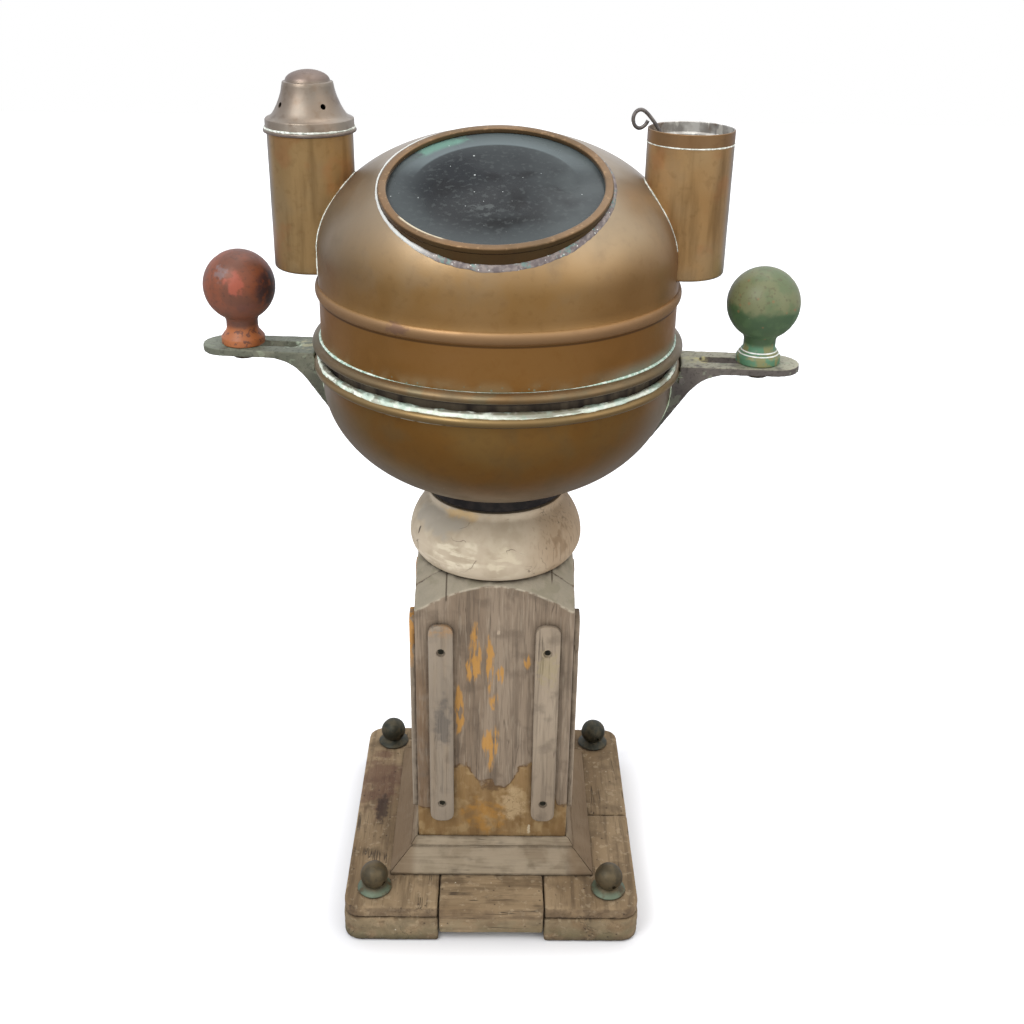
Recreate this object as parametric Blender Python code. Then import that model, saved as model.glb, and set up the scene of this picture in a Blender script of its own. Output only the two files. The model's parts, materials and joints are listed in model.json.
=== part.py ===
"""Binnacle compass on a square wooden pedestal, as an assembly of separate pieces.

Metres, +Z up. The origin is on the floor under the column's axis, and -Y is the helmsman's side.
The head (bowl, hood, arms and compass) stands on the collar and is turned a few degrees on it.
"""
import math

import bmesh
import bpy
from mathutils import Matrix

GAP = 0.0003                      # clearance left between neighbouring pieces
FULL_TURN = 2 * math.pi

# Facets round a turned piece; pieces that fit inside each other share a count
LARGE = 32
MEDIUM = 24
LAMP = 18
SMALL = 12
CUTTER = 64                       # smooth cutters that fit one turned piece to another
PIN = 16

# Base: two bearers on the floor, a middle board clear of it, and boards on top of the bearers
BASE_HALF_WIDTH = 0.1741
BASE_HALF_DEPTH = 0.1766
BASE_HEIGHT = 0.0515
BASE_CORNER = 0.020
BEARER_INNER = 0.0620
BEARER_HEIGHT = 0.0343
MIDDLE_BOARD_BOTTOM = 0.012
BEARER_CHAMFER = 0.002
TOP_BOARD_CHAMFER = 0.0015
TOP_BOARD_SETBACK = 0.0010
RIGHT_BOARD_BUTT_Y = -0.009

# Moulding round the foot of the column
MOULDING_OUTER = 0.1222
MOULDING_STEP = 0.0985
MOULDING_HEIGHT = 0.0336
MOULDING_LIP = 0.0035             # height of the upright edge at the foot
MOULDING_QUIRK_BOTTOM = 0.0105    # below the moulding's top
MOULDING_QUIRK_TOP = 0.0080
MOULDING_FLAT = 0.0030            # width of the top

# Column: four boards with a turned, conical shoulder
COLUMN_HALF = 0.0894
COLUMN_BOARD = 0.030
COLUMN_STOCK = 0.020              # board length above the arch before the shoulder is turned
ARCH_TOP_Z = 0.4329
SHOULDER_SLOPE = 0.90
SHOULDER_TOP_RADIUS = 0.0862
SHOULDER_REACH = 0.200            # radius to which the turning tool's cone is drawn

# Battens on the column's faces
BATTEN_WIDTH = 0.0285
BATTEN_THICKNESS = 0.0072
BATTEN_OFFSET = 0.060
BATTEN_BOTTOM_Z = 0.112
BATTEN_TOP_Z = 0.385
BATTEN_CORNER = 0.0110

# Turned wooden collar
COLLAR_BOTTOM_RADIUS = 0.0855
COLLAR_BELLY_RADIUS = 0.0976
COLLAR_BELLY_Z = 0.4591
COLLAR_WAIST_RADIUS = 0.0758
COLLAR_WAIST_Z = 0.5055
COLLAR_TOP_RADIUS = 0.0775
COLLAR_TOP_Z = 0.5155
COLLAR_TOP_EDGE = 0.003
COLLAR_BORE = 0.0066

# Cap nuts on the four deck bolts
NUT_X = 0.1386
NUT_Y = 0.1430
NUT_FLANGE_RADIUS = 0.0200
NUT_BODY_RADIUS = 0.0163
NUT_DOME_Z = 0.0705
NUT_FLANGE_HEIGHT = 0.003
NUT_SHOULDER_HEIGHT = 0.0065
NUT_BODY_BOTTOM = 0.009
TOMMY_HOLE_RADIUS = 0.0028
TOMMY_HOLE_DROP = 0.004           # below the dome's centre
TOMMY_HOLE_TURN = {"left": 50, "right": 20}

# Head: a spun bowl with a rolled rim
HEAD_TURN = math.radians(-4.22)
NECK_RADIUS = 0.0755
NECK_BORE = 0.030
BOWL_RADIUS = 0.1870
BOWL_DEPTH = 0.1272
BOWL_CENTRE_Z = 0.6471
BOWL_WALL = 0.0025
BOWL_BOTTOM_HOLE = 0.0066
BOWL_SEAT_RADIUS = 0.0200
PIVOT_BOLT_RADIUS = 0.0060
BOLT_HEAD_RADIUS = 0.011
BOLT_HEAD_HEIGHT = 0.009          # with the washer
BOLT_WASHER_RADIUS = 0.028
BOLT_WASHER_THICKNESS = 0.003
SEAT_WASHER_RADIUS = 0.0155
SEAT_WASHER_THICKNESS = 0.002
SEAT_NUT_RADIUS = 0.0095
SEAT_NUT_TOP = 0.010
RIM_BOTTOM_Z = 0.6600
RIM_TOP_Z = 0.6715
RIM_RADIUS = 0.1955

# Hood
HOOD_RADIUS = 0.1870
HOOD_WALL = 0.0016
SPIGOT_RADIUS = 0.1838
SPIGOT_BOTTOM_Z = 0.6663
HOOD_BAND_BOTTOM_Z = 0.6840
HOOD_BAND_TOP_Z = 0.6950
HOOD_BAND_RADIUS = 0.1962
SWAGE_Z = 0.7471
SWAGE_HALF_HEIGHT = 0.0065
SWAGE_PROUD = 0.0040
DOME_Z = 0.7844
DOME_HEIGHT = 0.1184
SPIGOT_BEND = 0.003               # height over which the wall steps in to the spigot
ABOVE_HOOD = 0.95

# Viewing window, in a frame tilted towards the helmsman
WINDOW_X = 0.0022
WINDOW_Y = -0.0814
WINDOW_Z = 0.8672
WINDOW_TILT = math.radians(19.3)
WINDOW_RADIUS = 0.1118
WINDOW_CLEAR_RADIUS = 0.1040
WINDOW_COLLAR_WALL = 0.0020
WINDOW_COLLAR_DEPTH = 0.034
BEZEL_THICKNESS = 0.0060
BEZEL_EDGE = 0.0010
GLASS_STEP = 0.0005               # the pane stands this far into the bezel
COLLAR_INSIDE = 0.006             # length of collar left inside the dome
WINDOW_BORE = (-0.06, 0.03)
GLASS_RADIUS = 0.1090
GLASS_THICKNESS = 0.0030

# Side lamps
LAMP_X = {"left": -0.1918, "right": 0.1890}
LAMP_TUBE_RADIUS = 0.0432
LAMP_WALL = 0.0014
LAMP_TUBE_TOP_Z = 0.8963
LAMP_TUBE_BOTTOM_Z = {"left": 0.7600, "right": 0.7660}
LAMP_RIM_TOP_Z = 0.9097
LAMP_PORT_WIDTH = 0.036
LAMP_PORT_HEIGHT = 0.050
LAMP_PORT_Z = 0.820
LAMP_PORT_REACH = (0.010, 0.060)
TUBE_CHAMFER = 0.002
CAP_BEAD_RADIUS = 0.0467
CAP_SKIRT_RADIUS = 0.0446
CAP_SHELL = 0.0014
CAP_CONE = ((0.0403, 0.9100), (0.0344, 0.9178), (0.0290, 0.9292), (0.0265, 0.9372), (0.0251, 0.9445))
CAP_BUTTON_RADIUS = 0.0222
CAP_BUTTON_Z = 0.9450
CAP_BUTTON_HEIGHT = 0.0107
CAP_ROOF = 0.0037                 # thickness under the button's top
LOOP_RADIUS = 0.0068
LOOP_WIRE_RADIUS = 0.0019
LOOP_STAND_OUT = 0.0012           # beyond the rim it stands on
LOOP_ANGLE = math.radians(-12)    # from the direction of the compass
LOOP_FACETS = (14, 6)

# Oil fount, collar and wick tube of a lamp, as (radius, height above the lamp's floor)
BURNER = ((0, 0), (0.033, 0), (0.034, 0.001), (0.034, 0.024), (0.030, 0.028), (0.0115, 0.030),
          (0.0115, 0.036), (0.0060, 0.038), (0.0050, 0.054), (0, 0.054))

# Arms and corrector balls
ARM_TOP_Z = 0.6715
ARM_THICKNESS = 0.0075
ARM_HALF_WIDTH = 0.0285
ARM_TIP_X = 0.3210
ARM_SLOT_START_X = 0.2145
ARM_SLOT_END_X = 0.3000
ARM_SLOT_HALF_WIDTH = 0.0085
ARM_ROOT_X = 0.150
ARM_TIP_ROUNDING = 0.94
STRAP_FOOT_X = 0.1686
STRAP_FOOT_Z = 0.5860
STRAP_BEND_X = 0.2050
STRAP_BEND_DROP = 0.0205
STRAP_BEND_END_X = 0.243
STRAP_TAPER_TOP_Z = 0.655
STRAP_FOOT_HALF_WIDTH = 0.0170
BALL_X = 0.2770
BALL_RADIUS = 0.0380
BALL_CENTRE_Z = 0.7354
BALL_NECK_RADIUS = 0.0168
BALL_FOOT_RADIUS = 0.0232
BALL_STUD_RADIUS = 0.0062
BALL_NUT_RADIUS = 0.0130
BALL_NUT_HEIGHT = 0.0070
BALL_STUD_LENGTH = 0.0165
BALL_FOOT_HEIGHT = 0.0085
BALL_NECK_BOTTOM = 0.0185

# Gimbals and compass
GIMBAL_Z = 0.6560
GIMBAL_RING_OUTER = 0.1320
GIMBAL_RING_INNER = 0.1260
GIMBAL_RING_HALF_HEIGHT = 0.0070
GIMBAL_PIN_RADIUS = 0.0030
GIMBAL_PIN_REACH = 0.1500
GIMBAL_HOLE_RADIUS = 0.0034
GIMBAL_HOLE_REACH = 0.2
BEARING_INNER_Y = 0.1400
BEARING_HALF_WIDTH = 0.0120
BEARING_HALF_HEIGHT = 0.0100
BEARING_HOLE_END_Y = 0.156
COMPASS_RADIUS = 0.0920
COMPASS_WALL = 0.0020
COMPASS_TOP = 0.0200
COMPASS_STRAIGHT_BOTTOM = -0.0400
COMPASS_BOTTOM = -0.0740
COMPASS_ARC = 75                  # degrees of the bowl's rounding, measured from its wall
CARD_RADIUS = 0.0780
CARD_Z = -0.0050
CARD_THICKNESS = 0.0010
CARD_CAP_RADIUS = 0.0065
COMPASS_GLASS_THICKNESS = 0.003
COMPASS_BEZEL_WIDTH = 0.008
MAGNET_X = 0.018
MAGNET_HALF_WIDTH = 0.003
MAGNET_HALF_LENGTH = 0.045
MAGNET_BOTTOM = 0.0065            # below the card
LUBBER_HALF_WIDTH = 0.0006
LUBBER_Z = (-0.030, 0.016)


def clear_scene():
    for item in list(bpy.data.objects):
        bpy.data.objects.remove(item, do_unlink=True)


def principled(name, colour, roughness, metallic=0.0, alpha=1.0):
    """A plain Principled BSDF finish."""
    finish = bpy.data.materials.new(name)
    finish.use_nodes = True
    shader = finish.node_tree.nodes["Principled BSDF"]
    shader.inputs["Base Color"].default_value = (*colour, 1.0)
    shader.inputs["Roughness"].default_value = roughness
    shader.inputs["Metallic"].default_value = metallic
    shader.inputs["Alpha"].default_value = alpha
    return finish


def make_finishes():
    return {
        "base_wood": principled("base_wood", (0.23, 0.16, 0.10), 0.85),
        "column_wood": principled("column_wood", (0.30, 0.24, 0.17), 0.85),
        "batten_wood": principled("batten_wood", (0.38, 0.33, 0.26), 0.85),
        "collar_wood": principled("collar_wood", (0.46, 0.39, 0.29), 0.75),
        "nut_bronze": principled("nut_bronze", (0.10, 0.09, 0.06), 0.55, 0.8),
        "black_iron": principled("black_iron", (0.02, 0.02, 0.02), 0.6, 0.5),
        "aged_brass": principled("aged_brass", (0.30, 0.18, 0.07), 0.4, 1.0),
        "bracket_bronze": principled("bracket_bronze", (0.17, 0.16, 0.12), 0.6, 0.7),
        "window_glass": principled("window_glass", (0.05, 0.07, 0.08), 0.2, 0.0, 0.6),
        "tinned_brass": principled("tinned_brass", (0.42, 0.40, 0.36), 0.4, 0.9),
        "wire_steel": principled("wire_steel", (0.10, 0.10, 0.10), 0.5, 0.8),
        "ball_red": principled("ball_red", (0.45, 0.12, 0.05), 0.55),
        "ball_green": principled("ball_green", (0.10, 0.20, 0.11), 0.55),
        "gimbal_brass": principled("gimbal_brass", (0.45, 0.31, 0.13), 0.35, 1.0),
        "card_paper": principled("card_paper", (0.80, 0.76, 0.64), 0.7),
        "magnet_steel": principled("magnet_steel", (0.20, 0.20, 0.22), 0.4, 1.0),
    }


def add_empty(name, parent=None, location=(0, 0, 0), rotation=(0, 0, 0)):
    empty = bpy.data.objects.new(name, None)
    bpy.context.scene.collection.objects.link(empty)
    empty.parent = parent
    empty.location = location
    empty.rotation_euler = rotation
    return empty


def add_piece(name, mesh, finish, parent=None, location=(0, 0, 0), rotation=(0, 0, 0), smooth=False):
    """Turn a bmesh into a named object with its faces pointing out."""
    bmesh.ops.recalc_face_normals(mesh, faces=mesh.faces)
    data = bpy.data.meshes.new(name)
    mesh.to_mesh(data)
    mesh.free()
    if smooth:
        data.shade_smooth()
        data.set_sharp_from_angle(angle=math.radians(35))
    piece = bpy.data.objects.new(name, data)
    bpy.context.scene.collection.objects.link(piece)
    piece.parent = parent
    piece.location = location
    piece.rotation_euler = rotation
    if finish is not None:
        data.materials.append(finish)
    return piece


def ellipse_arc(centre, radii, start, end, steps):
    """Points (radius, height) along an ellipse, between two angles in degrees."""
    points = []
    for step in range(steps + 1):
        angle = math.radians(start + (end - start) * step / steps)
        points.append((centre[0] + radii[0] * math.cos(angle), centre[1] + radii[1] * math.sin(angle)))
    return points


def smooth_bend(start, corner, end, steps):
    """Points on the curve that leaves start and reaches end along the lines to the corner."""
    points = []
    for step in range(steps + 1):
        along = step / steps
        left = 1 - along
        points.append(tuple(left * left * a + 2 * left * along * b + along * along * c
                            for a, b, c in zip(start, corner, end)))
    return points


def turned_mesh(outline, segments):
    """Sweep a (radius, height) outline round the Z axis; ends on the axis become points."""
    mesh = bmesh.new()
    rings = []
    for radius, height in outline:
        if radius < 1e-6:
            rings.append([mesh.verts.new((0, 0, height))])
            continue
        ring = []
        for step in range(segments):
            angle = FULL_TURN * step / segments
            ring.append(mesh.verts.new((radius * math.cos(angle), radius * math.sin(angle), height)))
        rings.append(ring)
    pairs = list(zip(rings, rings[1:]))
    if len(rings[0]) > 1:
        pairs.append((rings[-1], rings[0]))
    for lower, upper in pairs:
        if len(lower) == 1 and len(upper) == 1:
            continue
        for step in range(segments):
            after = (step + 1) % segments
            corners = [lower[step % len(lower)], lower[after % len(lower)],
                       upper[after % len(upper)], upper[step % len(upper)]]
            mesh.faces.new(list(dict.fromkeys(corners)))
    return mesh


def turned(name, outline, finish, segments=LARGE, **placing):
    return add_piece(name, turned_mesh(outline, segments), finish, smooth=True, **placing)


def prism_mesh(outline, low, high):
    """Extrude a flat (x, y) outline from one height to another."""
    mesh = bmesh.new()
    bottom = [mesh.verts.new((x, y, low)) for x, y in outline]
    top = [mesh.verts.new((x, y, high)) for x, y in outline]
    mesh.faces.new(bottom)
    mesh.faces.new(top)
    for index in range(len(outline)):
        after = (index + 1) % len(outline)
        mesh.faces.new((bottom[index], bottom[after], top[after], top[index]))
    return mesh


def ease_edges(piece, width):
    """A single small chamfer on the long edges."""
    bevel = piece.modifiers.new("eased_edges", "BEVEL")
    bevel.width = width
    bevel.segments = 1
    bevel.limit_method = "ANGLE"
    bevel.angle_limit = math.radians(40)


ALL_CORNERS = ("left_front", "right_front", "right_back", "left_back")


def board_outline(low, high, round_corners=(), radius=BASE_CORNER, steps=5):
    """A rectangle from low to high, with the named corners (such as 'right_back') rounded."""
    corners = (("left_front", low[0], low[1], 180), ("right_front", high[0], low[1], 270),
               ("right_back", high[0], high[1], 0), ("left_back", low[0], high[1], 90))
    outline = []
    for corner, x, y, start in corners:
        if corner not in round_corners:
            outline.append((x, y))
            continue
        centre_x = x + radius * (1 if "left" in corner else -1)
        centre_y = y + radius * (1 if "front" in corner else -1)
        outline += ellipse_arc((centre_x, centre_y), (radius, radius), start, start + 90, steps)
    return outline


def add_cutter(name, mesh, parent=None, location=(0, 0, 0), rotation=(0, 0, 0)):
    cutter = add_piece(name, mesh, None, parent, location, rotation)
    cutter.hide_render = True
    cutter.display_type = "WIRE"
    return cutter


def boolean(piece, cutter, operation="DIFFERENCE"):
    step = piece.modifiers.new(cutter.name, "BOOLEAN")
    step.operation = operation
    step.solver = "EXACT"
    step.object = cutter


def build_base(finish):
    half_x = BASE_HALF_WIDTH
    half_y = BASE_HALF_DEPTH
    edge = TOP_BOARD_SETBACK
    top_inner = BEARER_INNER + GAP
    top_x = half_x - edge
    top_y = half_y - edge
    bearers = {
        "bearer_left": ((-half_x, -half_y), (-BEARER_INNER, half_y), ("left_front", "left_back")),
        "bearer_right": ((BEARER_INNER, -half_y), (half_x, half_y), ("right_front", "right_back")),
    }
    for name, (low, high, rounded) in bearers.items():
        piece = add_piece(name, prism_mesh(board_outline(low, high, rounded), 0, BEARER_HEIGHT), finish)
        ease_edges(piece, BEARER_CHAMFER)
    top_boards = {
        "top_board_left": ((-top_x, -top_y), (-top_inner, top_y), ("left_front", "left_back")),
        "top_board_right_front": ((top_inner, -top_y), (top_x, RIGHT_BOARD_BUTT_Y - GAP), ("right_front",)),
        "top_board_right_back": ((top_inner, RIGHT_BOARD_BUTT_Y + GAP), (top_x, top_y), ("right_back",)),
    }
    for name, (low, high, rounded) in top_boards.items():
        outline = board_outline(low, high, rounded)
        piece = add_piece(name, prism_mesh(outline, BEARER_HEIGHT + GAP, BASE_HEIGHT), finish)
        ease_edges(piece, TOP_BOARD_CHAMFER)
    middle_x = BEARER_INNER - GAP
    outline = board_outline((-middle_x, -half_y), (middle_x, half_y))
    middle = add_piece("base_middle_board", prism_mesh(outline, MIDDLE_BOARD_BOTTOM, BASE_HEIGHT), finish)
    ease_edges(middle, TOP_BOARD_CHAMFER)


def moulding_mesh():
    """The front length: its section runs along X and is mitred at both ends."""
    bottom = BASE_HEIGHT + GAP
    top = BASE_HEIGHT + MOULDING_HEIGHT
    inner = COLUMN_HALF + GAP
    section = [(inner, bottom), (MOULDING_OUTER, bottom), (MOULDING_OUTER, bottom + MOULDING_LIP),
               (MOULDING_STEP, top - MOULDING_QUIRK_BOTTOM), (MOULDING_STEP, top - MOULDING_QUIRK_TOP),
               (inner + MOULDING_FLAT, top), (inner, top)]
    mesh = bmesh.new()
    ends = []
    for side in (-1, 1):
        ends.append([mesh.verts.new((side * (out - GAP), -out, height)) for out, height in section])
    mesh.faces.new(ends[0])
    mesh.faces.new(ends[1])
    for index in range(len(section)):
        after = (index + 1) % len(section)
        mesh.faces.new((ends[0][index], ends[1][index], ends[1][after], ends[0][after]))
    return mesh


def build_moulding(finish):
    for turn, side in enumerate(("front", "right", "back", "left")):
        add_piece(f"moulding_{side}", moulding_mesh(), finish, rotation=(0, 0, turn * math.pi / 2))


def build_column(finish):
    bottom = BASE_HEIGHT + GAP
    inner = COLUMN_HALF - COLUMN_BOARD
    foot_z = ARCH_TOP_Z - SHOULDER_SLOPE * (SHOULDER_REACH - COLUMN_HALF)
    shoulder_top_z = ARCH_TOP_Z + SHOULDER_SLOPE * (COLUMN_HALF - SHOULDER_TOP_RADIUS)
    shoulder = add_cutter("shoulder_shape", turned_mesh(
        [(0, 0), (SHOULDER_REACH, 0), (SHOULDER_REACH, foot_z),
         (SHOULDER_TOP_RADIUS, shoulder_top_z), (0, shoulder_top_z)], CUTTER))
    boards = {
        "column_front": ((-COLUMN_HALF, -COLUMN_HALF), (COLUMN_HALF, -inner)),
        "column_back": ((-COLUMN_HALF, inner), (COLUMN_HALF, COLUMN_HALF)),
        "column_left": ((-COLUMN_HALF, -inner + GAP), (-inner, inner - GAP)),
        "column_right": ((inner, -inner + GAP), (COLUMN_HALF, inner - GAP)),
    }
    for name, (low, high) in boards.items():
        stock = prism_mesh(board_outline(low, high), bottom, ARCH_TOP_Z + COLUMN_STOCK)
        piece = add_piece(name, stock, finish)
        boolean(piece, shoulder, "INTERSECT")
    return shoulder_top_z


def batten_mesh(offset):
    """A strip with rounded ends that stands on the front face, offset along X."""
    low = (offset - BATTEN_WIDTH / 2, BATTEN_BOTTOM_Z)
    high = (offset + BATTEN_WIDTH / 2, BATTEN_TOP_Z)
    outline = board_outline(low, high, ALL_CORNERS, BATTEN_CORNER)
    mesh = prism_mesh(outline, COLUMN_HALF + GAP, COLUMN_HALF + BATTEN_THICKNESS)
    mesh.transform(Matrix.Rotation(math.pi / 2, 4, "X"))
    return mesh


def build_battens(finish):
    for turn, side in enumerate(("front", "right", "back", "left")):
        for sign, hand in ((-1, "a"), (1, "b")):
            add_piece(f"batten_{side}_{hand}", batten_mesh(sign * BATTEN_OFFSET), finish,
                      rotation=(0, 0, turn * math.pi / 2))


def collar_outline(bottom_z):
    lower = COLLAR_BELLY_Z - bottom_z
    lower_angle = math.degrees(math.acos(COLLAR_BOTTOM_RADIUS / COLLAR_BELLY_RADIUS))
    lower_height = lower / math.sin(math.radians(lower_angle))
    upper = COLLAR_WAIST_Z - COLLAR_BELLY_Z
    upper_angle = math.degrees(math.acos(COLLAR_WAIST_RADIUS / COLLAR_BELLY_RADIUS))
    upper_height = upper / math.sin(math.radians(upper_angle))
    outline = [(COLLAR_BORE, bottom_z)]
    outline += ellipse_arc((0, COLLAR_BELLY_Z), (COLLAR_BELLY_RADIUS, lower_height), -lower_angle, 0, 4)
    outline += ellipse_arc((0, COLLAR_BELLY_Z), (COLLAR_BELLY_RADIUS, upper_height), 0, upper_angle, 5)[1:]
    outline += [(COLLAR_TOP_RADIUS, COLLAR_TOP_Z - COLLAR_TOP_EDGE),
                (COLLAR_TOP_RADIUS - COLLAR_TOP_EDGE / 2, COLLAR_TOP_Z), (COLLAR_BORE, COLLAR_TOP_Z)]
    return outline


def bowl_outer_z(radius):
    """Height of the bowl's outside at a radius."""
    return BOWL_CENTRE_Z - BOWL_DEPTH * math.sqrt(1 - (radius / BOWL_RADIUS) ** 2)


def bowl_seat_z():
    """Height of the flat seat inside the bowl, where the pivot bolt's nut bears."""
    inner_radius = BOWL_RADIUS - BOWL_WALL
    inner_depth = BOWL_DEPTH - BOWL_WALL
    return BOWL_CENTRE_Z - inner_depth * math.sqrt(1 - (BOWL_SEAT_RADIUS / inner_radius) ** 2)


def build_collar(finishes, shoulder_top_z):
    turned("collar", collar_outline(shoulder_top_z + GAP), finishes["collar_wood"], LARGE)
    radii = [NECK_RADIUS + (NECK_BORE - NECK_RADIUS) * step / 4 for step in range(5)]
    outline = [(NECK_BORE, COLLAR_TOP_Z + GAP), (NECK_RADIUS, COLLAR_TOP_Z + GAP)]
    outline += [(radius, bowl_outer_z(radius) - 2 * GAP) for radius in radii]
    turned("neck_ring", outline, finishes["black_iron"], MEDIUM)


def build_pivot_bolt(finish, collar_bottom):
    """The bolt the head turns on: its head is under the collar, its nut is inside the bowl."""
    under = collar_bottom - GAP
    inside = bowl_seat_z() + GAP
    head_bottom = under - BOLT_HEAD_HEIGHT
    washer_bottom = under - BOLT_WASHER_THICKNESS
    nut_bottom = inside + SEAT_WASHER_THICKNESS
    nut_top = inside + SEAT_NUT_TOP
    outline = [(0, head_bottom), (BOLT_HEAD_RADIUS, head_bottom), (BOLT_HEAD_RADIUS, washer_bottom),
               (BOLT_WASHER_RADIUS, washer_bottom), (BOLT_WASHER_RADIUS, under),
               (PIVOT_BOLT_RADIUS, under), (PIVOT_BOLT_RADIUS, inside), (SEAT_WASHER_RADIUS, inside),
               (SEAT_WASHER_RADIUS, nut_bottom), (SEAT_NUT_RADIUS, nut_bottom),
               (SEAT_NUT_RADIUS, nut_top), (0, nut_top)]
    turned("head_pivot_bolt", outline, finish, SMALL)


def build_deck_nuts(finish):
    bottom = BASE_HEIGHT + GAP
    radius = NUT_BODY_RADIUS
    outline = [(0, bottom), (NUT_FLANGE_RADIUS, bottom), (NUT_FLANGE_RADIUS, bottom + NUT_FLANGE_HEIGHT),
               ((radius + NUT_FLANGE_RADIUS) / 2, bottom + NUT_SHOULDER_HEIGHT),
               (radius, bottom + NUT_BODY_BOTTOM)]
    outline += ellipse_arc((0, NUT_DOME_Z), (radius, radius), 0, 90, 3)[:-1] + [(0, NUT_DOME_Z + radius)]
    for side, x in (("left", -NUT_X), ("right", NUT_X)):
        for end, y in (("front", -NUT_Y), ("back", NUT_Y)):
            name = f"deck_nut_{side}_{end}"
            nut = turned(name, outline, finish, SMALL, location=(x, y, 0))
            reach = radius * 2
            hole = turned_mesh([(0, -reach), (TOMMY_HOLE_RADIUS, -reach), (TOMMY_HOLE_RADIUS, reach),
                                (0, reach)], 8)
            cutter = add_cutter(f"{name}_hole", hole, location=(x, y, NUT_DOME_Z - TOMMY_HOLE_DROP),
                                rotation=(math.pi / 2, 0, math.radians(TOMMY_HOLE_TURN[side])))
            boolean(nut, cutter)


def bowl_outline():
    inner_radius = BOWL_RADIUS - BOWL_WALL
    inner_depth = BOWL_DEPTH - BOWL_WALL
    outer_start = -math.degrees(math.acos(BOWL_BOTTOM_HOLE / BOWL_RADIUS))
    inner_start = -math.degrees(math.acos(BOWL_SEAT_RADIUS / inner_radius))
    rim_z = (RIM_BOTTOM_Z + RIM_TOP_Z) / 2
    rim_half = (RIM_TOP_Z - RIM_BOTTOM_Z) / 2
    outline = ellipse_arc((0, BOWL_CENTRE_Z), (BOWL_RADIUS, BOWL_DEPTH), outer_start, 0, 9)
    outline += ellipse_arc((BOWL_RADIUS, rim_z), (RIM_RADIUS - BOWL_RADIUS, rim_half), -90, 90, 4)
    outline.append((inner_radius, RIM_TOP_Z))
    outline += ellipse_arc((0, BOWL_CENTRE_Z), (inner_radius, inner_depth), 0, inner_start, 7)
    outline.append((BOWL_BOTTOM_HOLE, bowl_seat_z()))
    return outline


def strap_side_outline():
    """The arm and its strap seen from the side, as (distance from the axis, height)."""
    bottom = ARM_TOP_Z - ARM_THICKNESS
    foot = (STRAP_FOOT_X, STRAP_FOOT_Z)
    bend = (STRAP_BEND_X, bottom - STRAP_BEND_DROP)
    corner = (STRAP_BEND_X + 0.013, bottom - 0.002)
    beyond = ARM_TIP_X + ARM_THICKNESS
    outline = [(ARM_ROOT_X, ARM_TOP_Z), (ARM_ROOT_X, STRAP_FOOT_Z), foot]
    outline += smooth_bend(bend, corner, (STRAP_BEND_END_X, bottom), 7)
    outline += [(beyond, bottom), (beyond, ARM_TOP_Z)]
    return outline


def bracket_mesh():
    mesh = prism_mesh(strap_side_outline(), -ARM_HALF_WIDTH * 1.5, ARM_HALF_WIDTH * 1.5)
    mesh.transform(Matrix.Rotation(math.pi / 2, 4, "X"))
    return mesh


def arm_plan_outline():
    tip_radius = ARM_HALF_WIDTH * ARM_TIP_ROUNDING
    outline = [(ARM_ROOT_X, ARM_HALF_WIDTH), (ARM_ROOT_X, -ARM_HALF_WIDTH)]
    outline += ellipse_arc((ARM_TIP_X - tip_radius, 0), (tip_radius, tip_radius), -90, 90, 10)
    return outline


def strap_front_outline():
    """The arm and its strap seen end on, as (width, height): the strap narrows to its foot."""
    half = ARM_HALF_WIDTH + 2 * GAP
    above = ARM_TOP_Z + ARM_THICKNESS
    foot = STRAP_FOOT_HALF_WIDTH
    below = STRAP_FOOT_Z - ARM_THICKNESS
    return [(-half, above), (-half, STRAP_TAPER_TOP_Z), (-foot, below), (foot, below),
            (half, STRAP_TAPER_TOP_Z), (half, above)]


def strap_front_mesh():
    mesh = prism_mesh(strap_front_outline(), ARM_ROOT_X / 2, ARM_TIP_X * 1.1)
    mesh.transform(Matrix(((0, 0, 1, 0), (1, 0, 0, 0), (0, 1, 0, 0), (0, 0, 0, 1))))
    return mesh


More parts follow.
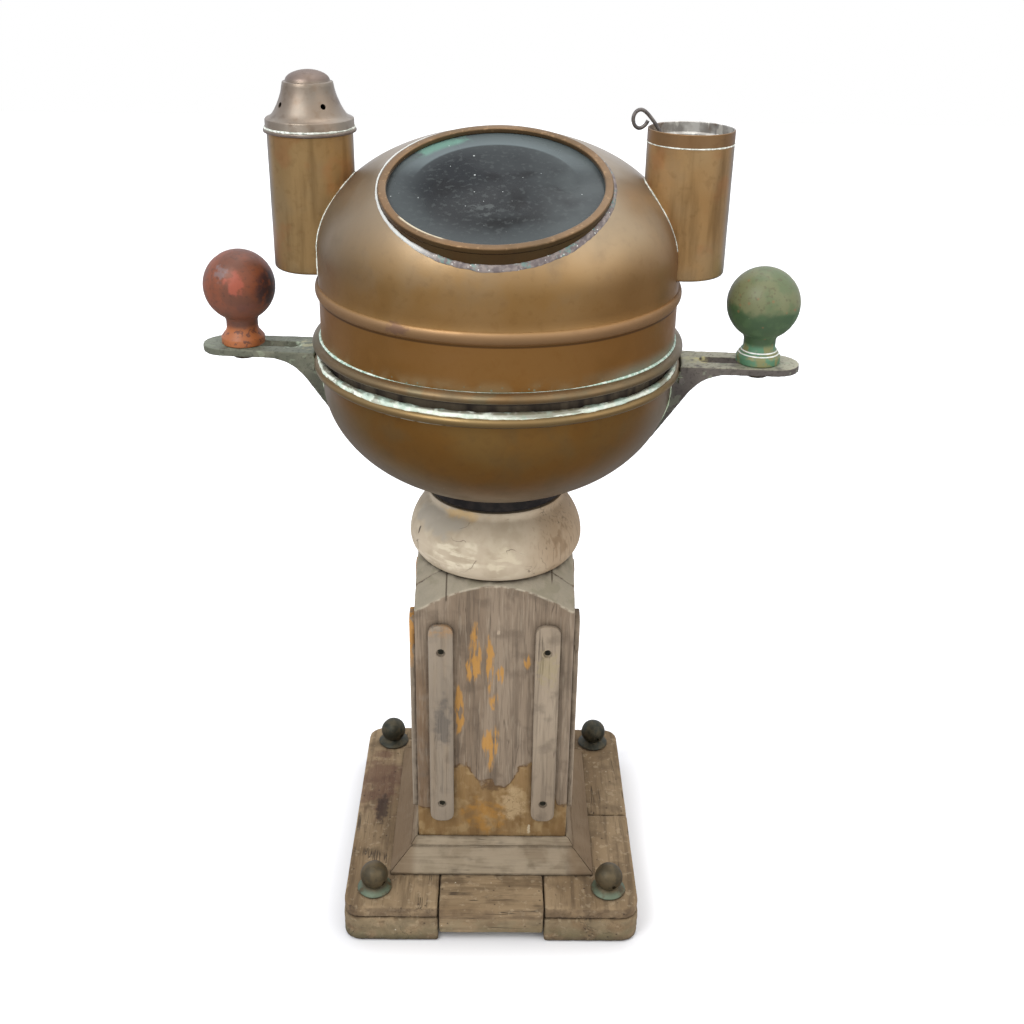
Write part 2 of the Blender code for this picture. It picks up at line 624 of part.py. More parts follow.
def build_brackets(finish, head):
    """Each cast arm is a side outline, trimmed in plan and end on, then fitted to the bowl."""
    slot_outline = ellipse_arc((ARM_SLOT_END_X - ARM_SLOT_HALF_WIDTH, 0),
                               (ARM_SLOT_HALF_WIDTH, ARM_SLOT_HALF_WIDTH), -90, 90, 5)
    slot_outline += ellipse_arc((ARM_SLOT_START_X + ARM_SLOT_HALF_WIDTH, 0),
                                (ARM_SLOT_HALF_WIDTH, ARM_SLOT_HALF_WIDTH), 90, 270, 5)
    rim_z = (RIM_BOTTOM_Z + RIM_TOP_Z) / 2
    rim_half = (RIM_TOP_Z - RIM_BOTTOM_Z) / 2 + GAP
    bowl = ellipse_arc((0, BOWL_CENTRE_Z), (BOWL_RADIUS + GAP, BOWL_DEPTH + GAP), -80, 0, 16)
    bowl += ellipse_arc((BOWL_RADIUS, rim_z), (RIM_RADIUS - BOWL_RADIUS + GAP, rim_half), -90, 0, 3)
    bowl += [(RIM_RADIUS + GAP, HOOD_BAND_TOP_Z), (0, HOOD_BAND_TOP_Z)]
    bowl.insert(0, (0, bowl[0][1]))
    fit = add_cutter("bowl_fit", turned_mesh(bowl, 112), head)
    below = ARM_TOP_Z - 2 * ARM_THICKNESS
    above = ARM_TOP_Z + ARM_THICKNESS
    for side, turn in (("right", 0), ("left", math.pi)):
        placing = {"parent": head, "rotation": (0, 0, turn)}
        bracket = add_piece(f"bracket_{side}", bracket_mesh(), finish, **placing)
        plan_mesh = prism_mesh(arm_plan_outline(), STRAP_FOOT_Z - ARM_THICKNESS, above)
        plan = add_cutter(f"arm_plan_{side}", plan_mesh, **placing)
        end_on = add_cutter(f"strap_front_{side}", strap_front_mesh(), **placing)
        slot = add_cutter(f"arm_slot_{side}", prism_mesh(slot_outline, below, above), **placing)
        boolean(bracket, plan, "INTERSECT")
        boolean(bracket, end_on, "INTERSECT")
        boolean(bracket, fit)
        boolean(bracket, slot)


def ball_outline():
    """Corrector ball with its neck, foot and stud; heights are above the arm's top face."""
    centre = BALL_CENTRE_Z - ARM_TOP_Z
    neck_angle = -math.degrees(math.acos(BALL_NECK_RADIUS / BALL_RADIUS))
    neck_top = centre + BALL_RADIUS * math.sin(math.radians(neck_angle)) - 0.001
    outline = [(0, -BALL_STUD_LENGTH), (BALL_STUD_RADIUS, -BALL_STUD_LENGTH), (BALL_STUD_RADIUS, GAP),
               (BALL_FOOT_RADIUS - 0.001, GAP), (BALL_FOOT_RADIUS, GAP + 0.0012),
               (BALL_FOOT_RADIUS, BALL_FOOT_HEIGHT), (BALL_NECK_RADIUS + 0.001, BALL_NECK_BOTTOM - 0.0035),
               (BALL_NECK_RADIUS, BALL_NECK_BOTTOM), (BALL_NECK_RADIUS, neck_top)]
    outline += ellipse_arc((0, centre), (BALL_RADIUS, BALL_RADIUS), neck_angle + 4, 90, 9)[:-1]
    outline.append((0, centre + BALL_RADIUS))
    return outline


def build_correctors(finishes, head):
    """The ball's stud passes through the slot, and a round nut holds it from below."""
    under = -ARM_THICKNESS - GAP
    bottom = under - BALL_NUT_HEIGHT
    nut = [(BALL_STUD_RADIUS + GAP, under), (BALL_STUD_RADIUS + GAP, bottom),
           (BALL_NUT_RADIUS - 0.001, bottom), (BALL_NUT_RADIUS, bottom + 0.001), (BALL_NUT_RADIUS, under)]
    for side, x in (("left", -BALL_X), ("right", BALL_X)):
        mount = add_empty(f"corrector_axis_{side}", head, (x, 0, ARM_TOP_Z))
        finish = finishes["ball_red" if side == "left" else "ball_green"]
        turned(f"corrector_ball_{side}", ball_outline(), finish, LAMP, parent=mount)
        turned(f"corrector_nut_{side}", nut, finishes["bracket_bronze"], SMALL, parent=mount)


def hood_outline():
    outer = HOOD_RADIUS
    inner = HOOD_RADIUS - HOOD_WALL
    spigot_inner = SPIGOT_RADIUS - HOOD_WALL
    swage = (SWAGE_PROUD, SWAGE_HALF_HEIGHT)
    outline = [(spigot_inner, SPIGOT_BOTTOM_Z), (SPIGOT_RADIUS, SPIGOT_BOTTOM_Z),
               (SPIGOT_RADIUS, HOOD_BAND_BOTTOM_Z), (outer, HOOD_BAND_BOTTOM_Z)]
    outline += ellipse_arc((outer, SWAGE_Z), swage, -90, 90, 4)
    outline += ellipse_arc((0, DOME_Z), (outer, DOME_HEIGHT), 0, 90, 8)[:-1]
    outline.append((0, DOME_Z + DOME_HEIGHT))
    outline.append((0, DOME_Z + DOME_HEIGHT - HOOD_WALL))
    outline += ellipse_arc((0, DOME_Z), (inner, DOME_HEIGHT - HOOD_WALL), 90, 0, 8)[1:]
    outline += ellipse_arc((inner, SWAGE_Z), swage, 90, -90, 4)
    outline.append((spigot_inner, HOOD_BAND_BOTTOM_Z + SPIGOT_BEND))
    return outline


def lamp_bore(side, x, head):
    low = LAMP_TUBE_BOTTOM_Z[side] - GAP
    radius = LAMP_TUBE_RADIUS + GAP
    outline = [(0, low), (radius, low), (radius, ABOVE_HOOD), (0, ABOVE_HOOD)]
    return add_cutter(f"hood_lamp_bore_{side}", turned_mesh(outline, 40), head, (x, 0, 0))


def build_hood(finishes, head, window):
    brass = finishes["aged_brass"]
    hood = turned("hood_shell", hood_outline(), brass, LARGE, parent=head)
    for side, x in LAMP_X.items():
        boolean(hood, lamp_bore(side, x, head))
    radius = WINDOW_RADIUS + 2 * GAP
    low, high = WINDOW_BORE
    bore = [(0, low), (radius, low), (radius, high), (0, high)]
    window_bore = add_cutter("hood_window_bore", turned_mesh(bore, 48), window)
    boolean(hood, window_bore)
    band_z = (HOOD_BAND_BOTTOM_Z + HOOD_BAND_TOP_Z) / 2
    band_half = (HOOD_BAND_TOP_Z - HOOD_BAND_BOTTOM_Z) / 2
    inner = HOOD_RADIUS + GAP
    band = ellipse_arc((inner, band_z), (HOOD_BAND_RADIUS - inner, band_half), -90, 90, 4)
    turned("hood_rim_band", band, brass, LARGE, parent=head)


def build_window(finishes, head, window):
    """Collar, bezel and pane; heights are along the window's own axis, with the face at zero."""
    brass = finishes["aged_brass"]
    radius = WINDOW_RADIUS
    wall = WINDOW_COLLAR_WALL
    collar_top = -BEZEL_THICKNESS
    collar = [(radius - wall, collar_top), (radius - wall, -WINDOW_COLLAR_DEPTH),
              (radius, -WINDOW_COLLAR_DEPTH), (radius, collar_top)]
    collar_piece = turned("window_collar", collar, brass, LARGE, parent=window)
    reach = HOOD_WALL + COLLAR_INSIDE
    dome = ellipse_arc((0, DOME_Z), (HOOD_RADIUS - reach, DOME_HEIGHT - reach), 0, 90, 14)[:-1]
    dome = [(0, SWAGE_Z), (HOOD_RADIUS - reach, SWAGE_Z)] + dome + [(0, DOME_Z + DOME_HEIGHT - reach)]
    boolean(collar_piece, add_cutter("collar_trim", turned_mesh(dome, CUTTER), head))
    glass_top = -BEZEL_THICKNESS + GLASS_STEP
    bezel = [(radius, -BEZEL_THICKNESS + GAP), (radius, -BEZEL_EDGE), (radius - BEZEL_EDGE, 0),
             (WINDOW_CLEAR_RADIUS + BEZEL_EDGE, 0), (WINDOW_CLEAR_RADIUS, -BEZEL_EDGE),
             (WINDOW_CLEAR_RADIUS, glass_top + GAP), (radius - wall, glass_top + GAP),
             (radius - wall, -BEZEL_THICKNESS + GAP)]
    turned("window_bezel", bezel, brass, LARGE, parent=window)
    glass = [(0, glass_top - GLASS_THICKNESS), (GLASS_RADIUS, glass_top - GLASS_THICKNESS),
             (GLASS_RADIUS, glass_top), (0, glass_top)]
    turned("window_glass", glass, finishes["window_glass"], LARGE, parent=window)


def port_mesh():
    """A rectangular light port that opens towards the compass, along +X."""
    half = LAMP_PORT_WIDTH / 2
    near, far = LAMP_PORT_REACH
    outline = [(near, -half), (far, -half), (far, half), (near, half)]
    return prism_mesh(outline, LAMP_PORT_Z - LAMP_PORT_HEIGHT / 2, LAMP_PORT_Z + LAMP_PORT_HEIGHT / 2)


def build_lamp(side, finishes, head):
    """Tube fixed in the hood, and the lift-out lamp body with its burner."""
    brass = finishes["aged_brass"]
    turn = 0 if side == "left" else math.pi
    axis = add_empty(f"lamp_axis_{side}", head, (LAMP_X[side], 0, 0), (0, 0, turn))
    bottom = LAMP_TUBE_BOTTOM_Z[side]
    outer = LAMP_TUBE_RADIUS
    inner = outer - LAMP_WALL
    outline = [(0, bottom), (outer - TUBE_CHAMFER, bottom), (outer, bottom + TUBE_CHAMFER),
               (outer, LAMP_TUBE_TOP_Z), (inner, LAMP_TUBE_TOP_Z), (inner, bottom + LAMP_WALL),
               (0, bottom + LAMP_WALL)]
    tube = turned(f"lamp_tube_{side}", outline, brass, LAMP, parent=axis)
    port = add_cutter(f"lamp_port_{side}", port_mesh(), axis)
    boolean(tube, port)
    body_outer = inner - GAP * 2
    body_inner = body_outer - LAMP_WALL
    body_bottom = bottom + LAMP_WALL + GAP
    seat = LAMP_TUBE_TOP_Z + GAP
    outline = [(0, body_bottom), (body_outer, body_bottom), (body_outer, seat), (outer, seat),
               (outer, LAMP_RIM_TOP_Z), (inner, LAMP_RIM_TOP_Z), (inner, seat + 2 * LAMP_WALL),
               (body_inner, seat + LAMP_WALL), (body_inner, body_bottom + LAMP_WALL),
               (0, body_bottom + LAMP_WALL)]
    body = turned(f"lamp_body_{side}", outline, finishes["tinned_brass"] if side == "right" else brass,
                  LAMP, parent=axis)
    boolean(body, port)
    font = body_bottom + LAMP_WALL + GAP
    outline = [(radius, font + height) for radius, height in BURNER]
    turned(f"burner_{side}", outline, finishes["gimbal_brass"], SMALL, parent=axis)
    return axis


def cap_outline():
    """Conical lamp cap with a skirt, a flared throat and a domed button on top."""
    seat = LAMP_RIM_TOP_Z + GAP
    low = LAMP_TUBE_TOP_Z + 0.0006
    skirt_inner = LAMP_TUBE_RADIUS + GAP
    skirt = CAP_SKIRT_RADIUS
    button = (CAP_BUTTON_RADIUS, CAP_BUTTON_HEIGHT)
    top = CAP_BUTTON_Z + CAP_BUTTON_HEIGHT
    outline = [(skirt_inner, low), (CAP_BEAD_RADIUS - 0.001, low), (CAP_BEAD_RADIUS, low + 0.002),
               (CAP_BEAD_RADIUS - 0.0008, low + 0.0038), (skirt, low + 0.0046), (skirt, seat - 0.0005)]
    outline += list(CAP_CONE) + [(CAP_BUTTON_RADIUS, CAP_BUTTON_Z)]
    outline += ellipse_arc((0, CAP_BUTTON_Z), button, 15, 80, 4) + [(0, top), (0, top - CAP_ROOF)]
    outline += [(radius - CAP_SHELL, height - CAP_SHELL / 2) for radius, height in reversed(CAP_CONE[1:])]
    outline += [(CAP_CONE[0][0] - 2 * CAP_SHELL, seat), (skirt_inner, seat)]
    return outline


def build_cap(finish, axis):
    turned("lamp_cap_left", cap_outline(), finish, LAMP, parent=axis)


def build_wire_loop(finish, axis):
    """A ring of wire that stands on the rim of the open lamp body."""
    mesh = bmesh.new()
    around, section = LOOP_FACETS
    rings = []
    for step in range(around):
        turn = FULL_TURN * step / around
        ring = []
        for corner in range(section):
            angle = FULL_TURN * corner / section
            reach = LOOP_RADIUS + LOOP_WIRE_RADIUS * math.cos(angle)
            ring.append(mesh.verts.new((reach * math.cos(turn), LOOP_WIRE_RADIUS * math.sin(angle),
                                        reach * math.sin(turn))))
        rings.append(ring)
    for step in range(around):
        for corner in range(section):
            after = (corner + 1) % section
            following = rings[(step + 1) % around]
            mesh.faces.new((rings[step][corner], following[corner], following[after], rings[step][after]))
    reach = LAMP_TUBE_RADIUS + LOOP_STAND_OUT
    stand = LAMP_RIM_TOP_Z + LOOP_RADIUS + LOOP_WIRE_RADIUS + GAP
    place = (reach * math.cos(LOOP_ANGLE), reach * math.sin(LOOP_ANGLE), stand)
    add_piece("lamp_loop_right", mesh, finish, parent=axis, smooth=True, location=place,
              rotation=(0, 0, LOOP_ANGLE))


def build_gimbals(finishes, head):
    """Bearings on the bowl, the gimbal ring, and the holes its pins and the bowl's pins sit in."""
    brass = finishes["gimbal_brass"]
    centre = add_empty("gimbal_centre", head, (0, 0, GIMBAL_Z))
    half = GIMBAL_RING_HALF_HEIGHT
    outer = GIMBAL_RING_OUTER
    inner = GIMBAL_RING_INNER
    ring = turned("gimbal_ring", [(inner, -half), (outer, -half), (outer, half), (inner, half)],
                  brass, LARGE, parent=centre)
    reach = GIMBAL_HOLE_REACH
    hole = [(0, -reach), (GIMBAL_HOLE_RADIUS, -reach), (GIMBAL_HOLE_RADIUS, reach), (0, reach)]
    across = add_cutter("ring_pin_holes", turned_mesh(hole, PIN), centre, rotation=(0, math.pi / 2, 0))
    boolean(ring, across)
    along = (GIMBAL_RING_INNER + GIMBAL_RING_OUTER) / 2
    for end, sign in (("front", -1), ("back", 1)):
        pin = [(0, along), (GIMBAL_PIN_RADIUS, along), (GIMBAL_PIN_RADIUS, GIMBAL_PIN_REACH),
               (0, GIMBAL_PIN_REACH)]
        turn = (-sign * math.pi / 2, 0, 0)
        boolean(ring, add_cutter(f"ring_pin_{end}", turned_mesh(pin, 12), centre, rotation=turn), "UNION")
        outline = board_outline((-BEARING_HALF_WIDTH, BEARING_INNER_Y), (BEARING_HALF_WIDTH, BOWL_RADIUS))
        placing = {"parent": centre, "rotation": (0, 0, 0 if sign > 0 else math.pi)}
        block = prism_mesh(outline, -BEARING_HALF_HEIGHT, BEARING_HALF_HEIGHT)
        bearing = add_piece(f"gimbal_bearing_{end}", block, brass, **placing)
        bearing_hole = [(0, along), (GIMBAL_HOLE_RADIUS, along), (GIMBAL_HOLE_RADIUS, BEARING_HOLE_END_Y),
                        (0, BEARING_HOLE_END_Y)]
        cutter = add_cutter(f"bearing_hole_{end}", turned_mesh(bearing_hole, PIN), centre, rotation=turn)
        inside = BOWL_RADIUS - BOWL_WALL - 6 * GAP
        tall = 2 * BEARING_HALF_HEIGHT
        wall = [(0, -tall), (inside, -tall), (inside, tall), (0, tall)]
        fit = add_cutter(f"bearing_fit_{end}", turned_mesh(wall, CUTTER), centre)
        boolean(bearing, fit, "INTERSECT")
        boolean(bearing, cutter)
    return centre


def compass_bowl_outline():
    """The compass bowl's section, with a flat floor for the card's pivot."""
    outer = COMPASS_RADIUS
    inner = outer - COMPASS_WALL
    depth = COMPASS_STRAIGHT_BOTTOM - COMPASS_BOTTOM
    outline = [(0, COMPASS_BOTTOM)]
    outline += ellipse_arc((0, COMPASS_STRAIGHT_BOTTOM), (outer, depth), -COMPASS_ARC, 0, 5)
    outline += [(outer, COMPASS_TOP), (inner, COMPASS_TOP)]
    outline += ellipse_arc((0, COMPASS_STRAIGHT_BOTTOM), (inner, depth - COMPASS_WALL), 0, -COMPASS_ARC, 5)
    outline.append((0, outline[-1][1]))
    return outline


def build_compass(finishes, centre):
    brass = finishes["gimbal_brass"]
    bowl = turned("compass_bowl", compass_bowl_outline(), brass, MEDIUM, parent=centre)
    for side, sign in (("left", -1), ("right", 1)):
        start = COMPASS_RADIUS - COMPASS_WALL / 2
        end = GIMBAL_RING_OUTER - 0.001
        pin = [(0, start), (GIMBAL_PIN_RADIUS, start), (GIMBAL_PIN_RADIUS, end), (0, end)]
        cutter = add_cutter(f"bowl_pin_{side}", turned_mesh(pin, 12), centre,
                            rotation=(0, sign * math.pi / 2, 0))
        boolean(bowl, cutter, "UNION")
    glass_bottom = COMPASS_TOP + GAP
    glass_top = glass_bottom + COMPASS_GLASS_THICKNESS
    glass = [(0, glass_bottom), (COMPASS_RADIUS, glass_bottom), (COMPASS_RADIUS, glass_top), (0, glass_top)]
    turned("compass_glass", glass, finishes["window_glass"], MEDIUM, parent=centre)
    top = glass_top + GAP
    inner = COMPASS_RADIUS - COMPASS_BEZEL_WIDTH
    skirt = COMPASS_RADIUS + GAP
    outer = COMPASS_RADIUS + 0.003
    bezel = [(inner, top), (skirt, top), (skirt, COMPASS_TOP - 0.006), (outer, COMPASS_TOP - 0.006),
             (outer, top + 0.002), (outer - 0.001, top + 0.003), (inner + 0.001, top + 0.003)]
    turned("compass_bezel", bezel, brass, MEDIUM, parent=centre)
    floor = compass_bowl_outline()[-1][1] + GAP
    tip = CARD_Z - 0.0036
    pivot = [(0, floor), (0.010, floor), (0.010, floor + 0.003), (0.0025, floor + 0.006),
             (0.0020, tip - 0.006), (0.0003, tip), (0, tip)]
    turned("card_pivot", pivot, brass, SMALL, parent=centre)
    line = board_outline((-LUBBER_HALF_WIDTH, -COMPASS_RADIUS + COMPASS_WALL + GAP),
                         (LUBBER_HALF_WIDTH, -CARD_RADIUS - 0.002))
    add_piece("lubber_line", prism_mesh(line, *LUBBER_Z), finishes["black_iron"], parent=centre)
    build_card(finishes, centre)


def build_card(finishes, centre):
    """The card with its jewelled cap in the middle and two bar magnets below."""
    top = CARD_Z + CARD_THICKNESS
    cap = CARD_CAP_RADIUS
    outline = [(0, CARD_Z - 0.003), (0.0030, CARD_Z - 0.006), (cap, CARD_Z - 0.006), (cap, CARD_Z),
               (CARD_RADIUS, CARD_Z), (CARD_RADIUS, top), (cap, top), (0.0045, top + 0.0040),
               (0, top + 0.0045)]
    turned("compass_card", outline, finishes["card_paper"], LARGE, parent=centre)
    for side, x in (("left", -MAGNET_X), ("right", MAGNET_X)):
        outline = board_outline((x - MAGNET_HALF_WIDTH, -MAGNET_HALF_LENGTH),
                                (x + MAGNET_HALF_WIDTH, MAGNET_HALF_LENGTH))
        add_piece(f"card_magnet_{side}", prism_mesh(outline, CARD_Z - MAGNET_BOTTOM, CARD_Z - GAP),
                  finishes["magnet_steel"], parent=centre)


def build():
    clear_scene()
    finishes = make_finishes()
    build_base(finishes["base_wood"])
    build_moulding(finishes["column_wood"])
    shoulder_top_z = build_column(finishes["column_wood"])
    build_battens(finishes["batten_wood"])
    build_collar(finishes, shoulder_top_z)
    build_pivot_bolt(finishes["bracket_bronze"], shoulder_top_z + GAP)
    build_deck_nuts(finishes["nut_bronze"])
    head = add_empty("head_axis", rotation=(0, 0, HEAD_TURN))
    window = add_empty("window_axis", head, (WINDOW_X, WINDOW_Y, WINDOW_Z), (WINDOW_TILT, 0, 0))
    turned("bowl_shell", bowl_outline(), finishes["aged_brass"], LARGE, parent=head)
    build_brackets(finishes["bracket_bronze"], head)
    build_correctors(finishes, head)
    build_hood(finishes, head, window)
    build_window(finishes, head, window)
    left_lamp = build_lamp("left", finishes, head)
    right_lamp = build_lamp("right", finishes, head)
    build_cap(finishes["aged_brass"], left_lamp)
    build_wire_loop(finishes["wire_steel"], right_lamp)
    centre = build_gimbals(finishes, head)
    build_compass(finishes, centre)


build()
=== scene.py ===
"""Looks of the binnacle compass.

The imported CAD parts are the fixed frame. Every visible piece is rebuilt finely in its place and rides
on its body. Meshes are in world metres with their objects at the origin, so a texture's Object
coordinates are world metres at rest.
"""

import json
import math

import bmesh
import bpy
from mathutils import Matrix, Vector, noise


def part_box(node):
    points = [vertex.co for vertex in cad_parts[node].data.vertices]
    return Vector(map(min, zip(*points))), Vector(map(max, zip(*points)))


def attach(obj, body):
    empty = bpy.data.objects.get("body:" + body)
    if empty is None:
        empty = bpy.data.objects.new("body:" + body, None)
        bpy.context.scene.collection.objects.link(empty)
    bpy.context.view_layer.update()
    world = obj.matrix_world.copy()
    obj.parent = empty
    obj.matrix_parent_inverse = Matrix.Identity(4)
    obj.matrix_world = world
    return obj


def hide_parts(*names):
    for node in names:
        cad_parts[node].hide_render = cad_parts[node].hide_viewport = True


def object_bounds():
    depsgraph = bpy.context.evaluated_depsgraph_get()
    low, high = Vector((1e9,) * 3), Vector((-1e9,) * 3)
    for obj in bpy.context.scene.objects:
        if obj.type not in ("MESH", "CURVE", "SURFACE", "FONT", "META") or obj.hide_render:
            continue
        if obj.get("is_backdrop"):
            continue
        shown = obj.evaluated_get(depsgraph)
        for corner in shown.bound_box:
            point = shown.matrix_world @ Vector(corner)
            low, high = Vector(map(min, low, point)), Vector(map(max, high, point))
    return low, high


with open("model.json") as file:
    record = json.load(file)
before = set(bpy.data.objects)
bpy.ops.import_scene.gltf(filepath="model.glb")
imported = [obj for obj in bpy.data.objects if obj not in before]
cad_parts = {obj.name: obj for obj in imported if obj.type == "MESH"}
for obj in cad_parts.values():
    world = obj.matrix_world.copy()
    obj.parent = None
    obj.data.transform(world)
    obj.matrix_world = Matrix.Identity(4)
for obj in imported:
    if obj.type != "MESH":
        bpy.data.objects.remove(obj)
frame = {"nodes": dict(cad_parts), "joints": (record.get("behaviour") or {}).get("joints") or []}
cad_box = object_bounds()

FULL_TURN = 2 * math.pi
UP = Vector((0, 0, 1))
ORIGIN = Vector((0, 0, 0))
SIDES = (("left", -1), ("right", 1))
MM = 0.001
ON_AXIS = 1e-6                     # a radius below this is a point on the axis
GAP = 0.0003                       # between neighbouring pieces


# ---------------------------------------------------------------- places read from the frame

def joint(name):
    return [item for item in frame["joints"] if item["name"] == name][0]


def points_of(node):
    return [vertex.co for vertex in frame["nodes"][node].data.vertices]


def middle_of(node):
    low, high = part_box(node)
    return (low + high) / 2


def reach_of(node, low=-1.0, high=9.0, centre=ORIGIN):
    """Largest distance from centre's upright line to a node's points between two heights."""
    return max((point - centre).to_2d().length for point in points_of(node)
               if low <= point.z <= high)


HEAD_X = Vector(joint("gimbal_pitch")["axis"])
HEAD = Matrix.Rotation(math.atan2(HEAD_X.y, HEAD_X.x), 4, "Z")

RIM_TOP_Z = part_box("bowl_shell")[1].z
RIM_RADIUS = reach_of("bowl_shell")
RIM_BOTTOM_Z = RIM_TOP_Z - 0.0115
BOWL_RADIUS = 0.1870
BOWL_CENTRE_Z = 0.6471
BOWL_DEPTH = 0.1272
BOWL_WALL = 0.0025
BOWL_SEAT_RADIUS = 0.0200
BOWL_HOLE_RADIUS = 0.0066

BAND_LOW_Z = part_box("hood_rim_band")[0].z
BAND_HIGH_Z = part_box("hood_rim_band")[1].z
BAND_RADIUS = reach_of("hood_rim_band")
HOOD_BOTTOM_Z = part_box("hood_shell")[0].z
HOOD_RADIUS = BOWL_RADIUS
HOOD_WALL = 0.0016
SPIGOT_RADIUS = reach_of("hood_shell", high=HOOD_BOTTOM_Z + MM)
SWAGE_Z = 0.7471
SWAGE_HALF = 0.0065
SWAGE_PROUD = reach_of("hood_shell") - HOOD_RADIUS
DOME_Z = 0.7844
DOME_HEIGHT = 0.1184

WINDOW_PLACE = HEAD @ Vector((0.0022, -0.0814, 0.8672))
WINDOW = Matrix.Translation(WINDOW_PLACE) @ HEAD @ Matrix.Rotation(math.radians(19.3), 4, "X")
WINDOW_RADIUS = 0.1118
WINDOW_CLEAR = 0.1040
WINDOW_GLASS_RADIUS = 0.1090
BEZEL_THICKNESS = 0.0060
BEZEL_SHEEN = 0.0022               # how far down its side the bezel is rubbed bright
COLLAR_WALL = 0.0020

LAMP_CENTRE = {side: middle_of(f"lamp_tube_{side}") * Vector((1, 1, 0)) for side, sign in SIDES}
TUBE_BOTTOM_Z = {side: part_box(f"lamp_tube_{side}")[0].z for side, sign in SIDES}
TUBE_TOP_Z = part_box("lamp_tube_left")[1].z
LAMP_RIM_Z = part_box("lamp_body_left")[1].z
TUBE_RADIUS = 0.0432
LAMP_WALL = 0.0014
PORT_SIZE = (0.036, 0.050)
PORT_Z = 0.820
VENT_AXIS_Z = 0.9150
VENT_RADIUS = 0.0028
# The wire's run as seen from the front, from its tail in the lamp to its free end: (across, up) in mm
LOOP_RUN = ((20.5, -17.0), (19.5, -11.5), (17.0, -8.0), (12.5, -1.2), (5.4, 7.6), (0.0, 10.7),
            (-5.2, 8.1), (-7.9, 1.2), (-6.2, -6.9), (-1.0, -10.6), (4.7, -6.9), (7.5, -1.6))
LOOP_STAND_OUT = 0.0070
LOOP_DROP = 0.0030
LOOP_FLATTENING = 0.9
LOOP_WIRE_RADIUS = 0.0019

ARM_TOP_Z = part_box("bracket_left")[1].z
BALL_X = 0.2770
BALL_RADIUS = 0.0380
BALL_CENTRE_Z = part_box("corrector_ball_left")[1].z - BALL_RADIUS
CRUST_STAND_OUT = 0.0048           # the crust's middle, out from the hood's spigot
COLUMN_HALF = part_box("column_front")[1].x
BASE_TOP_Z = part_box("top_board_left")[1].z

SCREW_FROM_TOP = 0.0355
SCREW_FROM_BOTTOM = 0.0255
SCREW_HOLE_RADIUS = 0.0044
SCREW_SINK = 0.0042
TOMMY_HOLE_RADIUS = 0.0028

GIMBAL_Z = joint("gimbal_roll")["pos_m"][2]
PIN_RADIUS = 0.0030
PIN_HOLE_RADIUS = 0.0034


# ---------------------------------------------------------------- mesh tools

def ellipse(centre, radii, start, end, steps):
    """Points (radius, height) along an ellipse, between two angles in degrees."""
    points = []
    for step in range(steps + 1):
        angle = math.radians(start + (end - start) * step / steps)
        points.append((centre[0] + radii[0] * math.cos(angle),
                       centre[1] + radii[1] * math.sin(angle)))
    return points


def softened(outline, width, steps=3):
    """Rounds the corners of an outline of (radius, height) points; points on the axis stay."""
    result = []
    count = len(outline)
    for index, point in enumerate(outline):
        here = Vector(point)
        if here.x < ON_AXIS:
            result.append(tuple(here))
            continue
        before = Vector(outline[index - 1]) - here
        after = Vector(outline[(index + 1) % count]) - here
        start = here + before.normalized() * min(width, before.length * 0.45)
        end = here + after.normalized() * min(width, after.length * 0.45)
        for step in range(steps + 1):
            along = step / steps
            result.append(tuple(start.lerp(here, along).lerp(here.lerp(end, along), along)))
    return result


def lathe(outline, segments=160, place=Matrix.Identity(4)):
    """Sweeps a closed outline, or one that ends on the axis, round Z and moves it to its place."""
    mesh = bmesh.new()
    rings = []
    for radius, height in outline:
        if radius < ON_AXIS:
            rings.append([mesh.verts.new((0, 0, height))])
            continue
        turns = [FULL_TURN * step / segments for step in range(segments)]
        rings.append([mesh.verts.new((radius * math.cos(turn), radius * math.sin(turn), height))
                      for turn in turns])
    pairs = list(zip(rings, rings[1:]))
    if len(rings[0]) > 1:
        pairs.append((rings[-1], rings[0]))
    for lower, upper in pairs:
        if len(lower) == 1 and len(upper) == 1:
            continue
        for step in range(segments):
            after = (step + 1) % segments
            corners = [lower[step % len(lower)], lower[after % len(lower)],
                       upper[after % len(upper)], upper[step % len(upper)]]
            mesh.faces.new(list(dict.fromkeys(corners)))
    mesh.transform(place)
    return mesh


def rod(radius, low, high, segments, place, ease=0.0):
    """A round bar along its place's Z, for a pin or for drilling; ease rounds its edges."""
    outline = [(0, low), (radius, low), (radius, high), (0, high)]
    return lathe(softened(outline, ease) if ease else outline, segments, place)


def sweep(sections, around=10, closed=True):
    """Skins an ellipse along sections of (centre, across, up), whose vectors hold its half sizes."""
    mesh = bmesh.new()
    rings = []
    for centre, across, up in sections:
        turns = [FULL_TURN * step / around for step in range(around)]
        rings.append([mesh.verts.new(centre + across * math.cos(turn) + up * math.sin(turn))
                      for turn in turns])
    pairs = list(zip(rings, rings[1:]))
    if closed:
        pairs.append((rings[-1], rings[0]))
    else:
        mesh.faces.new(rings[0])
        mesh.faces.new(rings[-1])
    for ring, following in pairs:
        for step in range(around):
            after = (step + 1) % around
            mesh.faces.new((ring[step], following[step], following[after], ring[after]))
    return mesh


def wire(points, radius, around=12):
    """A round bar along points, with an even radius and closed ends."""
    sections = []
    side = (points[1] - points[0]).orthogonal().normalized()
    for index, point in enumerate(points):
        ahead = points[min(index + 1, len(points) - 1)] - points[max(index - 1, 0)]
        ahead.normalize()
        side = (side - ahead * side.dot(ahead)).normalized()
        sections.append((point, side * radius, ahead.cross(side) * radius))
    return sweep(sections, around, closed=False)


